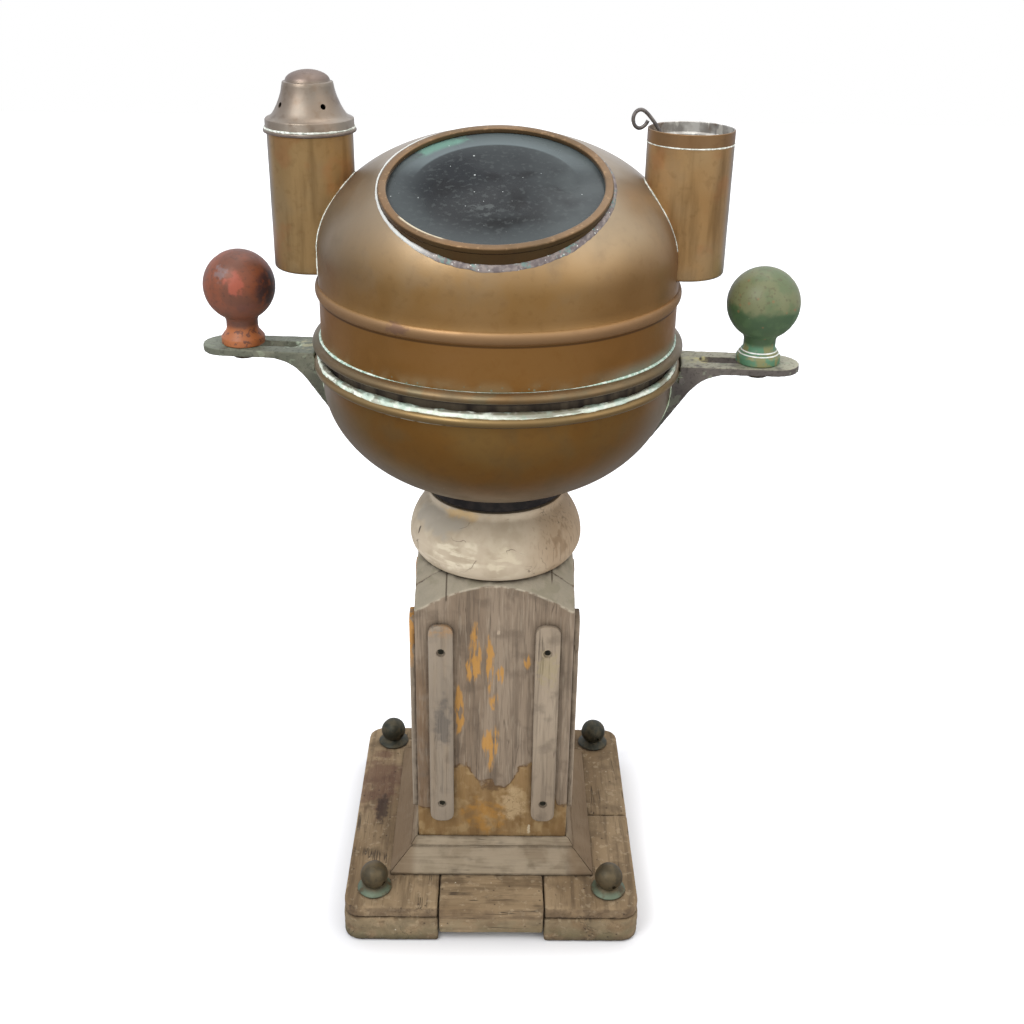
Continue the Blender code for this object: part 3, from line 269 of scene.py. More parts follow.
def block(low, high, place=Matrix.Identity(4)):
    """A box between two corners, for cutting."""
    mesh = bmesh.new()
    bmesh.ops.create_cube(mesh, size=1)
    size = Vector(high) - Vector(low)
    mesh.transform(place @ Matrix.Translation((Vector(low) + Vector(high)) / 2)
                   @ Matrix.Diagonal((*size, 1)))
    return mesh


def roughness_at(point, size, seed=0.0):
    """Smooth noise from -1 to 1, with features of about the given size in metres."""
    return noise.noise(point / size + Vector((seed, seed * 0.7, seed * 1.3)))


def dent(mesh, centre, depth, size, seed=0.0):
    """Pushes a shell in and out from a centre, so that its inside and outside stay parallel."""
    for vertex in mesh.verts:
        outward = vertex.co - centre
        if outward.length > 1e-6:
            vertex.co += outward.normalized() * depth * roughness_at(vertex.co, size, seed)
    return mesh


def to_object(name, mesh):
    bmesh.ops.recalc_face_normals(mesh, faces=mesh.faces)
    data = bpy.data.meshes.new(name)
    mesh.to_mesh(data)
    mesh.free()
    item = bpy.data.objects.new(name, data)
    bpy.context.scene.collection.objects.link(item)
    return item


def evaluated_mesh(item):
    bpy.context.view_layer.update()
    graph = bpy.context.evaluated_depsgraph_get()
    return bpy.data.meshes.new_from_object(item.evaluated_get(graph))


def apply_modifiers(item):
    shape = evaluated_mesh(item)
    item.modifiers.clear()
    plain = item.data
    item.data = shape
    bpy.data.meshes.remove(plain)


def carve(item, cutters, operation="DIFFERENCE"):
    """Cuts closed meshes out of an object, or joins them to it, for good."""
    tools = []
    for number, mesh in enumerate(cutters):
        tool = to_object(f"tool_{number}", mesh)
        step = item.modifiers.new(tool.name, "BOOLEAN")
        step.operation = operation
        step.solver = "EXACT"
        step.object = tool
        tools.append(tool)
    apply_modifiers(item)
    for tool in tools:
        bpy.data.meshes.remove(tool.data)


def finish_piece(item, finish, body, nodes=(), crease=32):
    """Shades a piece, gives it its finish and lets it ride on its body in place of its CAD nodes."""
    item.data.shade_smooth()
    item.data.set_sharp_from_angle(angle=math.radians(crease))
    item.data.materials.clear()
    item.data.materials.append(finish)
    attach(item, body)
    if nodes:
        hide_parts(*nodes)
    return item


def copy_of(node):
    """A loose copy of a CAD node's mesh, with its split corners welded."""
    mesh = bmesh.new()
    mesh.from_mesh(frame["nodes"][node].data)
    bmesh.ops.remove_doubles(mesh, verts=mesh.verts, dist=1e-6)
    return to_object(f"{node}_fine", mesh)


def remesh(item, voxel):
    step = item.modifiers.new("even_mesh", "REMESH")
    step.mode = "VOXEL"
    step.voxel_size = voxel
    apply_modifiers(item)


def add_smoothing(item, passes):
    step = item.modifiers.new("relax", "SMOOTH")
    step.factor = 0.5
    step.iterations = passes


def eased_copy(node, voxel, passes):
    """A CAD node rebuilt with an even mesh and eased edges."""
    item = copy_of(node)
    remesh(item, voxel)
    add_smoothing(item, passes)
    apply_modifiers(item)
    return item


def relaxed_places(item, passes):
    """The vertices' places after some passes of smoothing."""
    add_smoothing(item, passes)
    shape = evaluated_mesh(item)
    places = [vertex.co.copy() for vertex in shape.vertices]
    bpy.data.meshes.remove(shape)
    item.modifiers.clear()
    return places


def weather(item, grain, rounding=14, relief=0.20, checks=0.7, inset=0.25, seed=0.0):
    """Wears a wooden piece: uneven round edges, raised grain and open checks; depths in mm."""
    crisp = relaxed_places(item, 2)
    soft = relaxed_places(item, rounding)
    along = Vector((1, 1, 1)) - grain * 0.93
    shift = Vector((seed, seed * 2.1, seed * 0.6))
    normals = [vertex.normal.copy() for vertex in item.data.vertices]
    for index, vertex in enumerate(item.data.vertices):
        place = crisp[index]
        worn = min(max(0.45 + 1.1 * roughness_at(place, 0.030, seed + 4), 0.0), 1.0)
        stretched = Vector((place.x * along.x, place.y * along.y, place.z * along.z)) + shift
        ridge = noise.noise(stretched / 0.0035)
        split = abs(noise.noise(stretched / 0.016 + Vector((7, 3, 5))))
        open_here = noise.noise(place / 0.060 + shift) > 0.02
        groove = max(0.0, 1 - split / 0.045) if open_here else 0.0
        depth = inset + relief * ridge + checks * groove
        vertex.co = place.lerp(soft[index], worn) - normals[index] * depth * MM


def level_ring(name, middle, radius, steps, size, finish, body, around=10,
               turned=Matrix.Identity(4)):
    """A level ring of varying thickness; size(turn, place) gives its half width and half height."""
    sections = []
    for step in range(steps):
        turn = FULL_TURN * step / steps
        outward = turned @ Vector((math.cos(turn), math.sin(turn), 0))
        place = middle + outward * radius
        wide, tall = size(turn, place)
        sections.append((place, outward * wide, UP * tall))
    return finish_piece(to_object(name, sweep(sections, around)), finish, body, crease=80)


# ---------------------------------------------------------------- material tools

def rgb(red, green, blue):
    """A linear colour from display values of 0 to 255."""
    def linear(value):
        share = value / 255
        return share / 12.92 if share <= 0.04045 else ((share + 0.055) / 1.055) ** 2.4
    return (linear(red), linear(green), linear(blue), 1.0)


class Nodes:
    """Shader nodes with a running colour. Values are numbers, colours or sockets."""

    def __init__(self, tree, coordinates):
        self.tree = tree
        self.place = tree.nodes.new("ShaderNodeTexCoord").outputs[coordinates]
        self.colour = None
        self.seed = 0.0

    def put(self, socket, value):
        if isinstance(value, bpy.types.NodeSocket):
            self.tree.links.new(value, socket)
        else:
            socket.default_value = value

    def math(self, operation, first, second):
        node = self.tree.nodes.new("ShaderNodeMath")
        node.operation = operation
        self.put(node.inputs[0], first)
        self.put(node.inputs[1], second)
        return node.outputs[0]

    def times(self, *values):
        result = values[0]
        for value in values[1:]:
            result = self.math("MULTIPLY", result, value)
        return result

    def plus(self, first, second):
        return self.math("ADD", first, second)

    def minus(self, first, second):
        return self.math("SUBTRACT", first, second)

    def most(self, first, second):
        return self.math("MAXIMUM", first, second)

    def away(self, value, centre):
        return self.math("ABSOLUTE", self.minus(value, centre), 0.0)

    def vector(self, operation, first, second=(0, 0, 0)):
        node = self.tree.nodes.new("ShaderNodeVectorMath")
        node.operation = operation
        self.put(node.inputs[0], first)
        self.put(node.inputs[1], second)
        return node.outputs["Value" if operation in ("LENGTH", "DOT_PRODUCT") else 0]

    def step(self, value, low, high, to_low=0.0, to_high=1.0):
        """Goes smoothly from to_low to to_high as value goes from low to high."""
        node = self.tree.nodes.new("ShaderNodeMapRange")
        node.interpolation_type = "SMOOTHSTEP"
        for index, item in enumerate((value, low, high, to_low, to_high)):
            self.put(node.inputs[index], item)
        return node.outputs[0]

    def band(self, value, centre, inner, outer):
        """1 within inner of the centre, and 0 beyond outer."""
        return self.step(self.away(value, centre), inner, outer, 1.0, 0.0)

    def mix(self, share, first, second):
        node = self.tree.nodes.new("ShaderNodeMix")
        node.data_type = "RGBA"
        self.put(node.inputs[0], share)
        self.put(node.inputs[6], first)
        self.put(node.inputs[7], second)
        return node.outputs[2]

    def lay(self, colour, *masks):
        """Lays a linear colour over the present one, by the product of the masks."""
        self.colour = self.mix(self.times(*masks), self.colour, colour)

    def paint(self, display, *masks):
        """Lays a display colour over the present one, by the product of the masks."""
        self.lay(rgb(*display), *masks)

    def along(self, axis):
        """One coordinate of the place, 'X', 'Y' or 'Z'."""
        node = self.tree.nodes.new("ShaderNodeSeparateXYZ")
        self.put(node.inputs[0], self.place)
        return node.outputs[axis]

    def facing_up(self):
        """How far a surface faces up: 1 for level ones and 0 for upright ones."""
        normal = self.tree.nodes.new("ShaderNodeNewGeometry").outputs["Normal"]
        return self.vector("DOT_PRODUCT", normal, (0, 0, 1))

    def stretched(self, stretch):
        self.seed += 3.7
        node = self.tree.nodes.new("ShaderNodeMapping")
        self.put(node.inputs["Vector"], self.place)
        node.inputs["Location"].default_value = (self.seed, self.seed * 0.6, self.seed * 1.4)
        node.inputs["Scale"].default_value = stretch
        return node.outputs[0]

    def noise(self, size, detail=3.0, stretch=(1, 1, 1), distortion=0.0, output=0):
        """Noise round 0.5 with features of about the given size in millimetres."""
        node = self.tree.nodes.new("ShaderNodeTexNoise")
        self.put(node.inputs["Vector"], self.stretched(stretch))
        node.inputs["Scale"].default_value = 1000 / size
        node.inputs["Detail"].default_value = detail
        node.inputs["Distortion"].default_value = distortion
        return node.outputs[output]

    def blot(self, size, low, high, detail=4.0, stretch=(1, 1, 1)):
        """Blots: 0 where the noise is below low, 1 where it is above high."""
        return self.step(self.noise(size, detail, stretch), low, high)

    def specks(self, spacing, size, share):
        """Small separate dots: spacing and size in mm, and the share of places that has one."""
        node = self.tree.nodes.new("ShaderNodeTexVoronoi")
        self.put(node.inputs["Vector"], self.stretched((1, 1, 1)))
        node.inputs["Scale"].default_value = 1000 / spacing
        split = self.tree.nodes.new("ShaderNodeSeparateXYZ")
        self.put(split.inputs[0], node.outputs["Color"])
        reach = size / spacing
        dot = self.step(node.outputs["Distance"], reach * 0.5, reach, 1.0, 0.0)
        return self.times(dot, self.step(split.outputs[0], 1 - share - 0.001, 1 - share + 0.001))

    def patch(self, centre, size, ragged=0.5, grain=12.0, soft=0.5, stretch=(1, 1, 1)):
        """1 inside an ellipsoid with a ragged edge and 0 outside; centre and size in metres."""
        moved = self.vector("SUBTRACT", self.place, tuple(centre))
        scaled = self.vector("DIVIDE", moved, tuple(size))
        jitter = self.vector("SUBTRACT", self.noise(grain, 4, stretch, output=1), (0.5, 0.5, 0.5))
        shaken = self.vector("ADD", scaled, self.vector("MULTIPLY", jitter, (ragged * 4,) * 3))
        return self.step(self.vector("LENGTH", shaken), 1 - soft, 1, 1.0, 0.0)

    def hollows(self, distance):
        """1 in corners and under overhangs within a distance in metres, and 0 in the open."""
        node = self.tree.nodes.new("ShaderNodeAmbientOcclusion")
        node.samples = 6
        node.inputs["Distance"].default_value = distance
        return self.step(node.outputs["AO"], 0.35, 0.95, 1.0, 0.0)

    def grazing(self):
        """0 where a surface faces the eye and 1 where it is seen along its skin."""
        node = self.tree.nodes.new("ShaderNodeLayerWeight")
        node.inputs["Blend"].default_value = 0.5
        return node.outputs["Facing"]


class Finish(Nodes):
    """A Principled material with the nodes that feed it."""

    def __init__(self, name, display):
        self.material = bpy.data.materials.new(name)
        self.material.use_nodes = True
        super().__init__(self.material.node_tree, "Object")
        self.shader = self.tree.nodes["Principled BSDF"]
        self.colour = rgb(*display)

    def set(self, **values):
        names = {"roughness": "Roughness", "metallic": "Metallic", "specular": "Specular IOR Level",
                 "alpha": "Alpha"}
        for name, value in values.items():
            self.put(self.shader.inputs[names[name]], value)

    def close(self, height, depth, **values):
        """Joins the colour, a height of 0 to 1 that stands for a depth in mm, and the other values."""
        node = self.tree.nodes.new("ShaderNodeBump")
        node.inputs["Distance"].default_value = depth * MM
        self.put(node.inputs["Height"], height)
        self.put(self.shader.inputs["Normal"], node.outputs[0])
        self.put(self.shader.inputs["Base Color"], self.colour)
        self.set(**values)
        return self.material


# ---------------------------------------------------------------- finishes: wood

class Wood(Finish):
    """Weathered long grain along one axis, with checks."""

    def __init__(self, name, grain, pale, dark, brown, checked=0.75):
        super().__init__(name, pale)
        along = tuple(0.06 if letter == grain else 1.0 for letter in "XYZ")
        short = tuple(0.16 if letter == grain else 1.0 for letter in "XYZ")
        streaks = self.noise(9, 5, along, 0.3)
        fibres = self.noise(2.2, 4, along)
        split = self.away(self.noise(13, 2, along, 0.4), 0.5)
        checks = self.times(self.step(split, 0.004, 0.014, 1.0, 0.0), self.blot(40, 0.50, 0.60, 2))
        self.paint(brown, self.blot(55, 0.38, 0.62, 3, short))
        self.paint(dark, self.blot(24, 0.50, 0.68, 5), 0.50)
        self.paint(dark, self.step(streaks, 0.50, 0.66), 0.50)
        self.paint(dark, self.step(fibres, 0.52, 0.70), 0.40)
        self.paint((52, 43, 35), checks, checked)
        ridges = self.plus(self.times(fibres, 0.6), self.times(streaks, 0.6))
        self.height = self.minus(ridges, self.times(checks, checked))

    def close(self, depth=0.5, roughness=0.82):
        # Painted shade: darker in corners and under overhangs, in blots.
        self.paint((58, 48, 38), self.hollows(0.012), self.blot(14, 0.30, 0.60), 0.65)
        return super().close(self.height, depth, roughness=roughness, specular=0.25)


def base_wood(name, grain):
    """Brown, blotched and cracked, with painted shade on the front below the top edge and a greener
    foot.
    """
    f = Wood(name, grain, (140, 120, 93), (80, 65, 48), (116, 96, 71))
    z = f.along("Z")
    crust = f.blot(7, 0.56, 0.66, 6)
    f.paint((170, 152, 124), crust, 0.32)
    f.paint((84, 56, 46), f.patch((-0.150, 0.055, BASE_TOP_Z), (0.034, 0.085, 0.06), 0.5, 20), 0.6)
    f.paint((52, 40, 34), f.patch((-0.142, 0.000, BASE_TOP_Z), (0.010, 0.034, 0.03), 0.4, 9), 0.8)
    # Painted shade on the front faces, in a band just below the top edge.
    edge = f.times(f.step(f.along("Y"), -0.166, -0.172),
                   f.band(z, BASE_TOP_Z - 0.010, 0.0065, 0.0085))
    f.paint((80, 64, 49), edge, f.blot(16, 0.34, 0.60), 0.45)
    f.paint((124, 112, 88), f.step(z, 0.036, 0.030), f.step(z, 0.006, 0.014),
            f.blot(20, 0.34, 0.60), 0.5)
    f.paint((96, 90, 66), f.step(z, 0.030, 0.004), f.blot(22, 0.36, 0.60), 0.7)
    f.paint((70, 64, 52), f.step(z, 0.012, 0.0), 0.6)
    f.paint((54, 43, 36), f.specks(9, 1.7, 0.30), 0.7)
    f.paint((200, 190, 170), f.specks(14, 1.1, 0.16), 0.8)
    f.height = f.plus(f.times(crust, 0.5), f.height)
    return f.close(0.7)


# Rests of orange varnish on the column's front: (x, z, half width, half height)
VARNISH = ((-0.0205, 0.335, 0.0080, 0.042), (-0.0046, 0.330, 0.0056, 0.034),
           (0.0068, 0.318, 0.0060, 0.012), (0.0370, 0.336, 0.0050, 0.014),
           (-0.0405, 0.265, 0.0060, 0.040), (-0.0036, 0.215, 0.0110, 0.036),
           (-0.0290, 0.322, 0.0050, 0.018), (0.0010, 0.280, 0.0070, 0.014))


def column_wood():
    """Grey-brown upright grain with rests of varnish and an ochre foot below a wavy edge."""
    f = Wood("column_wood", "Z", (131, 116, 99), (84, 72, 60), (116, 100, 83), 0.45)
    x, y, z = (f.along(axis) for axis in "XYZ")
    front = f.step(y, -COLUMN_HALF + 0.008, -COLUMN_HALF + 0.004)
    side = f.away(x, 0.002)
    edge_z = f.plus(f.step(side, 0.012, 0.036, 0.161, 0.190),
                    f.step(side, 0.060, 0.078, 0.0, -0.060))
    edge_z = f.plus(edge_z, f.times(f.minus(f.noise(26, 4), 0.5), 0.040))
    above = f.minus(z, edge_z)
    foot = f.times(f.step(above, 0.003, -0.002), front)
    f.paint((110, 86, 62), f.step(x, -0.066, -0.080), f.step(z, 0.36, 0.30), f.blot(20, 0.30, 0.55),
            0.55)
    fibres = f.blot(2.0, 0.50, 0.62, 4, (1, 1, 0.035))
    f.paint((88, 77, 65), fibres, front, 0.42)
    f.paint((152, 139, 121), f.blot(2.4, 0.56, 0.66, 4, (1, 1, 0.07)), front, 0.28)
    f.paint((126, 98, 58), foot, 0.80)
    f.paint((150, 128, 92), foot, f.blot(13, 0.48, 0.62, 5), 0.55)
    f.paint((100, 74, 42), foot, f.blot(15, 0.42, 0.62, 4, (1, 1, 0.3)), 0.6)
    f.paint((148, 106, 46), f.patch((-0.010, -COLUMN_HALF, 0.114), (0.034, 0.02, 0.028), 0.5, 14),
            foot,
            f.blot(12, 0.28, 0.60, 3), 0.70)
    cracked = f.patch((0.024, -COLUMN_HALF, 0.130), (0.018, 0.02, 0.030), 0.4, 10)
    f.paint((164, 142, 108), cracked, foot, 0.7)
    lines = f.band(f.noise(9, 3), 0.5, 0.006, 0.018)
    f.paint((96, 72, 46), cracked, foot, lines, 0.6)
    f.paint((82, 60, 38), f.band(above, 0.0005, 0.0005, 0.0032), front, f.blot(11, 0.36, 0.50, 3),
            0.8)
    f.paint((86, 66, 44), f.patch((0.000, -COLUMN_HALF, 0.157), (0.017, 0.02, 0.006), 0.5, 7), 0.8)
    for across, height, wide, tall in VARNISH:
        rest = f.patch((across, -COLUMN_HALF, height), (wide, 0.02, tall), 0.45, 8, 0.4,
                       (1, 1, 0.3))
        f.paint((168, 122, 56), rest, f.blot(4, 0.40, 0.52, 5, (1, 1, 0.18)), 0.80)
    up = f.facing_up()
    high = f.step(z, 0.36, 0.37)
    shoulder = f.times(f.step(up, 0.25, 0.5), high)
    f.paint((150, 143, 126), shoulder, 0.75)
    f.paint((124, 118, 98), shoulder, f.blot(18, 0.48, 0.62), 0.5)
    f.paint((178, 169, 150), f.band(up, 0.30, 0.05, 0.22), high, f.blot(9, 0.36, 0.60, 3), 0.6)
    for across, low in ((-0.0536, 0.414), (0.0633, 0.429)):
        f.paint((66, 55, 44), f.band(x, across, 0.0005, 0.0013),
                f.step(z, low - 0.003, low + 0.001), 0.8)
    f.paint((178, 164, 138),
            f.patch((0.0440, -COLUMN_HALF, 0.094), (0.0022, 0.01, 0.008), 0.6, 5, 0.3), 0.8)
    f.paint((168, 152, 132), f.patch((0.0051, -COLUMN_HALF, 0.373), (0.0032, 0.01, 0.0032), 0.6, 5),
            0.6)
    return f.close(0.5)


def batten_wood(name, flank=False):
    """Silvery battens, the left front one darker and with a brown upper end."""
    f = Wood(name, "Z", (144, 130, 112), (94, 83, 71), (128, 114, 97), 0.5)
    x, z = f.along("X"), f.along("Z")
    left = f.step(x, 0.010, -0.020)
    f.paint((128, 118, 105), left, f.blot(12, 0.30, 0.55, 4, (1, 1, 0.1)), 0.5)
    f.paint((82, 77, 72), f.patch((-0.058, -COLUMN_HALF, 0.252), (0.014, 0.03, 0.040), 0.5, 12),
            left, 0.65)
    f.paint((150, 116, 78), f.step(z, 0.366, 0.380), left, f.blot(8, 0.40, 0.55, 3), 0.6)
    f.paint((142, 130, 94), f.patch((0.060, -COLUMN_HALF, 0.330), (0.016, 0.02, 0.030), 0.5, 8),
            0.4)
    if flank:
        f.paint((184, 132, 62), f.step(z, 0.300, 0.350), f.blot(9, 0.46, 0.52, 4, (1, 1, 0.3)), 0.8)
    return f.close()


def moulding_wood(name, grain):
    """Pale in front, and as brown as the base at the sides."""
    f = Wood(name, grain, (136, 123, 103), (88, 76, 61), (118, 103, 84), 0.6)
    f.paint((150, 137, 117), f.blot(30, 0.46, 0.62), 0.5)
    f.paint((106, 86, 64), f.step(f.away(f.along("X"), 0.0), 0.088, 0.100),
            0.6 if grain == "X" else 0.8)
    return f.close()


def collar_wood():
    """A smooth turned block: pale and blotched, greyer above at the left, tan at the right."""
    f = Finish("collar_wood", (172, 158, 137))
    x, z = f.along("X"), f.along("Z")
    left = f.step(x, 0.030, -0.030)
    f.paint((150, 136, 114), f.blot(36, 0.42, 0.62), 0.6)
    f.paint((184, 172, 150), f.blot(20, 0.50, 0.66, 5), 0.45)
    f.paint((138, 122, 100), f.step(z, 0.452, 0.430), 0.6)
    swirl = f.blot(13, 0.44, 0.54, 6, (0.45, 0.45, 1.9))
    f.paint((196, 185, 162), swirl, f.patch((-0.046, -0.085, 0.466), (0.034, 0.04, 0.018), 0.5, 14),
            0.85)
    f.paint((190, 178, 154), swirl, f.patch((0.012, -0.095, 0.466), (0.026, 0.03, 0.016), 0.5, 12),
            0.7)
    f.paint((198, 187, 165), f.blot(16, 0.50, 0.60, 4, (0.3, 0.3, 2.4)), f.step(z, 0.474, 0.452),
            left, 0.4)
    grey = f.patch(HEAD @ Vector((-0.060, -0.06, 0.494)), (0.042, 0.05, 0.018), 0.4, 16)
    f.paint((150, 145, 134), grey, 0.6)
    f.paint((184, 152, 100), f.patch((-0.049, -0.081, 0.509), (0.048, 0.04, 0.008), 0.4, 12), 0.6)
    f.paint((180, 148, 98), f.patch((-0.020, -0.083, 0.434), (0.020, 0.03, 0.004), 0.4, 8), 0.5)
    right = f.step(x, 0.020, 0.070)
    f.paint((138, 114, 86), right, 0.70)
    brown = f.patch((0.066, -0.055, 0.470), (0.014, 0.03, 0.022), 0.6, 9, 0.5, (1, 1, 0.4))
    f.paint((114, 91, 66), brown, 0.6)
    fine = f.noise(3.0, 4, (1, 1, 0.12))
    f.paint((116, 98, 77), f.step(fine, 0.54, 0.66), right, 0.55)
    f.paint((58, 46, 36), f.patch((-0.0852, -0.042, 0.480), (0.0030, 0.0020, 0.011), 0.2, 4, 0.4),
            0.85)
    split = f.away(f.noise(16, 2, (0.5, 1, 0.5), 0.8), 0.5)
    checks = f.times(f.step(split, 0.002, 0.007, 1.0, 0.0), f.blot(30, 0.56, 0.62, 2))
    f.paint((84, 71, 56), checks, 0.6)
    # Painted shade: darker in corners and under overhangs.
    f.paint((58, 48, 38), f.hollows(0.012), 0.5)
    height = f.minus(f.plus(f.noise(22, 4), f.times(fine, 0.3)), f.times(checks, 0.9))
    return f.close(height, 0.35, roughness=0.70, specular=0.25)


# ---------------------------------------------------------------- finishes: metal

class Brass(Finish):
    """Brown-gold patina, with a painted reflection that greys it where it is seen along its skin."""

    def __init__(self, name, tone, warm, dull, grazing_reflection=0.6):
        super().__init__(name, tone)
        bloom = self.noise(38, 5)
        mottle = self.noise(9, 5)
        self.paint(warm, self.blot(120, 0.40, 0.60, 3))
        self.paint(dull, self.step(bloom, 0.44, 0.68), 0.50)
        self.paint((110, 80, 46), self.step(mottle, 0.52, 0.72), 0.20)
        self.paint((100, 76, 54), self.specks(26, 2.2, 0.14), 0.28)
        # Painted reflection: greyer where the surface is seen along its skin.
        self.paint((150, 140, 130), self.step(self.grazing(), 0.45, 0.92), grazing_reflection)
        self.paint((226, 216, 196), self.specks(16, 0.5, 0.10))
        self.roughness = self.plus(self.step(bloom, 0.35, 0.70, 0.36, 0.50),
                                   self.times(mottle, 0.06))
        self.crust = 0.0
        self.height = self.plus(self.times(self.noise(2.5, 3), 0.5), self.times(bloom, 0.8))

    def deposit_and_painted_light(self, display, *masks):
        """Paints a dull coat that hides the metal: deposits, and in a few places painted shade and a
        painted highlight.
        """
        self.paint(display, *masks)
        self.crust = self.most(self.crust, self.times(*masks))

    def close(self, depth=0.06, rougher=0.0):
        roughness = self.plus(self.plus(self.roughness, rougher), self.times(self.crust, 0.3))
        return super().close(self.height, depth, roughness=roughness,
                             metallic=self.step(self.crust, 0.0, 1.0, 0.85, 0.15))


def hood_brass():
    """The hood: greyer above, golden below the bead and grey-green close to the band."""
    f = Brass("hood_brass", (166, 136, 94), (160, 124, 74), (146, 124, 94), 0.75)
    x, z = f.along("X"), f.along("Z")
    f.paint((162, 152, 136), f.step(z, 0.775, 0.86), 0.65)
    f.paint((114, 102, 86), f.step(x, -0.090, -0.165), f.step(z, 0.740, 0.800), 0.60)
    f.paint((136, 92, 38), f.step(x, 0.050, 0.130), f.step(z, 0.830, 0.780), 0.55)
    f.paint((152, 110, 58), f.step(z, 0.800, 0.760), 0.40)
    f.paint((150, 102, 44), f.step(z, SWAGE_Z + 0.002, SWAGE_Z - 0.006), 0.55)
    hem = f.times(f.step(z, BAND_HIGH_Z + 0.016, BAND_HIGH_Z + 0.001), f.blot(26, 0.36, 0.60))
    f.deposit_and_painted_light((116, 114, 90), hem, 0.45)
    f.deposit_and_painted_light((112, 136, 128), f.step(z, BAND_HIGH_Z + 0.018, BAND_HIGH_Z), f.step(x, 0.07, 0.13),
            0.55)
    f.deposit_and_painted_light((118, 156, 140), f.step(z, BAND_HIGH_Z + 0.008, BAND_HIGH_Z), f.specks(5, 1.4, 0.3),
            0.6)
    # The bead's crest is painted pinkish-tan and made rougher: partly its colour, partly a painted
    # highlight.
    crest = f.band(z, SWAGE_Z, 0.004, 0.007)
    f.paint((152, 122, 92), crest, 0.7)
    # Painted shade: a dark line just under the bead.
    f.paint((62, 45, 32), f.band(z, SWAGE_Z - SWAGE_HALF - 0.0014, 0.0006, 0.0018), 0.65)
    f.paint((110, 84, 80),
            f.patch(HEAD @ Vector((-0.082, -0.170, 0.749)), (0.012, 0.03, 0.007), 0.4, 6), 0.5)
    # Painted shade: the spigot in the gap under the band is painted near black, as a dull coat.
    spigot = f.step(z, BAND_LOW_Z + 0.001, BAND_LOW_Z - 0.0005)
    f.deposit_and_painted_light((44, 35, 28), spigot)
    stain = f.blot(16, 0.30, 0.62, 4, (1, 1, 0.4))
    f.deposit_and_painted_light((102, 91, 72), spigot, f.step(z, BAND_LOW_Z - 0.0015, BAND_LOW_Z - 0.0050), stain, 0.75)
    return f.close(rougher=f.times(crest, 0.12))


def bowl_brass():
    """The bowl: deep golden brown, chalky on the rim, with a white line below it at the left front."""
    f = Brass("bowl_brass", (136, 106, 60), (134, 96, 46), (114, 94, 62), 0.85)
    x, z = f.along("X"), f.along("Z")
    f.paint((126, 112, 88), f.step(f.away(x, 0.0), 0.110, 0.175), f.step(z, 0.655, 0.640), 0.55)
    # Painted shade: darker towards the bottom of the bowl.
    f.paint((112, 90, 60), f.step(z, 0.610, 0.545), 0.6)
    f.paint((96, 74, 54), f.step(z, 0.545, 0.528), 0.6)
    f.paint((140, 122, 88), f.step(z, RIM_BOTTOM_Z - 0.003, RIM_BOTTOM_Z + 0.001), 0.6)
    # Painted shade: a thin dark line just under the rim bead; at the left front a white deposit lies on
    # it.
    under = f.band(z, RIM_BOTTOM_Z - 0.0006, 0.0006, 0.0014)
    f.paint((60, 46, 34), under, 0.5)
    f.deposit_and_painted_light((206, 208, 192), under, f.step(x, -0.03, -0.09), f.step(f.along("Y"), 0.0, -0.06),
            f.blot(9, 0.42, 0.52), 0.8)
    ledge = f.step(z, RIM_TOP_Z - 0.0016, RIM_TOP_Z - 0.0006)
    f.deposit_and_painted_light((92, 84, 70), ledge, 0.8)
    f.deposit_and_painted_light((196, 204, 188), ledge, f.blot(14, 0.46, 0.58), f.step(x, 0.06, 0.0), 0.8)
    return f.close()


def band_brass():
    """The hood's flanged band: dull grey-brown, with painted shade along its lower edge."""
    f = Brass("band_brass", (134, 112, 82), (126, 100, 66), (112, 104, 84))
    x, z = f.along("X"), f.along("Z")
    f.paint((112, 112, 92), f.blot(26, 0.50, 0.66), 0.45)
    f.paint((112, 104, 84), f.step(f.away(x, 0.0), 0.06, 0.14), 0.5)
    # Painted shade: the band's lower edge over the gap is painted dark, as a dull coat.
    f.deposit_and_painted_light((52, 40, 32), f.step(z, BAND_LOW_Z + 0.0016, BAND_LOW_Z + 0.0004), 0.9)
    return f.close(rougher=0.06)


def tube_brass(name, tone, warm, dull, pink=0.0):
    """A lamp tube: long soft streaks, copper blooms and a painted reflection, grey where it is seen
    along its skin.
    """
    f = Brass(name, tone, warm, dull, 0.95)
    f.paint((104, 80, 48), f.blot(16, 0.50, 0.70, 4, (1, 1, 0.12)), 0.45)
    # A second painted reflection: greyer where the tube is seen along its skin.
    f.paint((148, 142, 134), f.step(f.grazing(), 0.55, 0.95), 0.6)
    f.paint((176, 120, 78), f.blot(46, 0.52, 0.64, 3), 0.35)
    if pink:
        f.paint((122, 92, 66), f.step(f.along("Z"), TUBE_TOP_Z - 0.001, TUBE_TOP_Z + 0.001), pink)
    return f.close()


def bezel_brass():
    """Browner brass with scuffs and chips, and a cream painted highlight on the inner edge at the lower
    left.
    """
    f = Brass("bezel_brass", (118, 95, 70), (114, 88, 60), (100, 84, 64))
    f.paint((172, 142, 108), f.blot(6, 0.58, 0.68, 5), 0.30)
    # Painted highlight: the inner edge at the lower left is painted cream, as a dull coat.
    cream = f.patch(WINDOW @ Vector((-0.066, -0.082, 0)), (0.045, 0.035, 0.02), 0.3, 12)
    away = f.vector("LENGTH", f.vector("SUBTRACT", f.place, tuple(WINDOW_PLACE)))
    f.deposit_and_painted_light((206, 196, 172), cream, f.step(away, WINDOW_CLEAR + 0.0032, WINDOW_CLEAR + 0.0014),
            0.85)
    f.paint((226, 214, 196), f.specks(11, 0.9, 0.2), 0.8)
    return f.close(rougher=0.05)


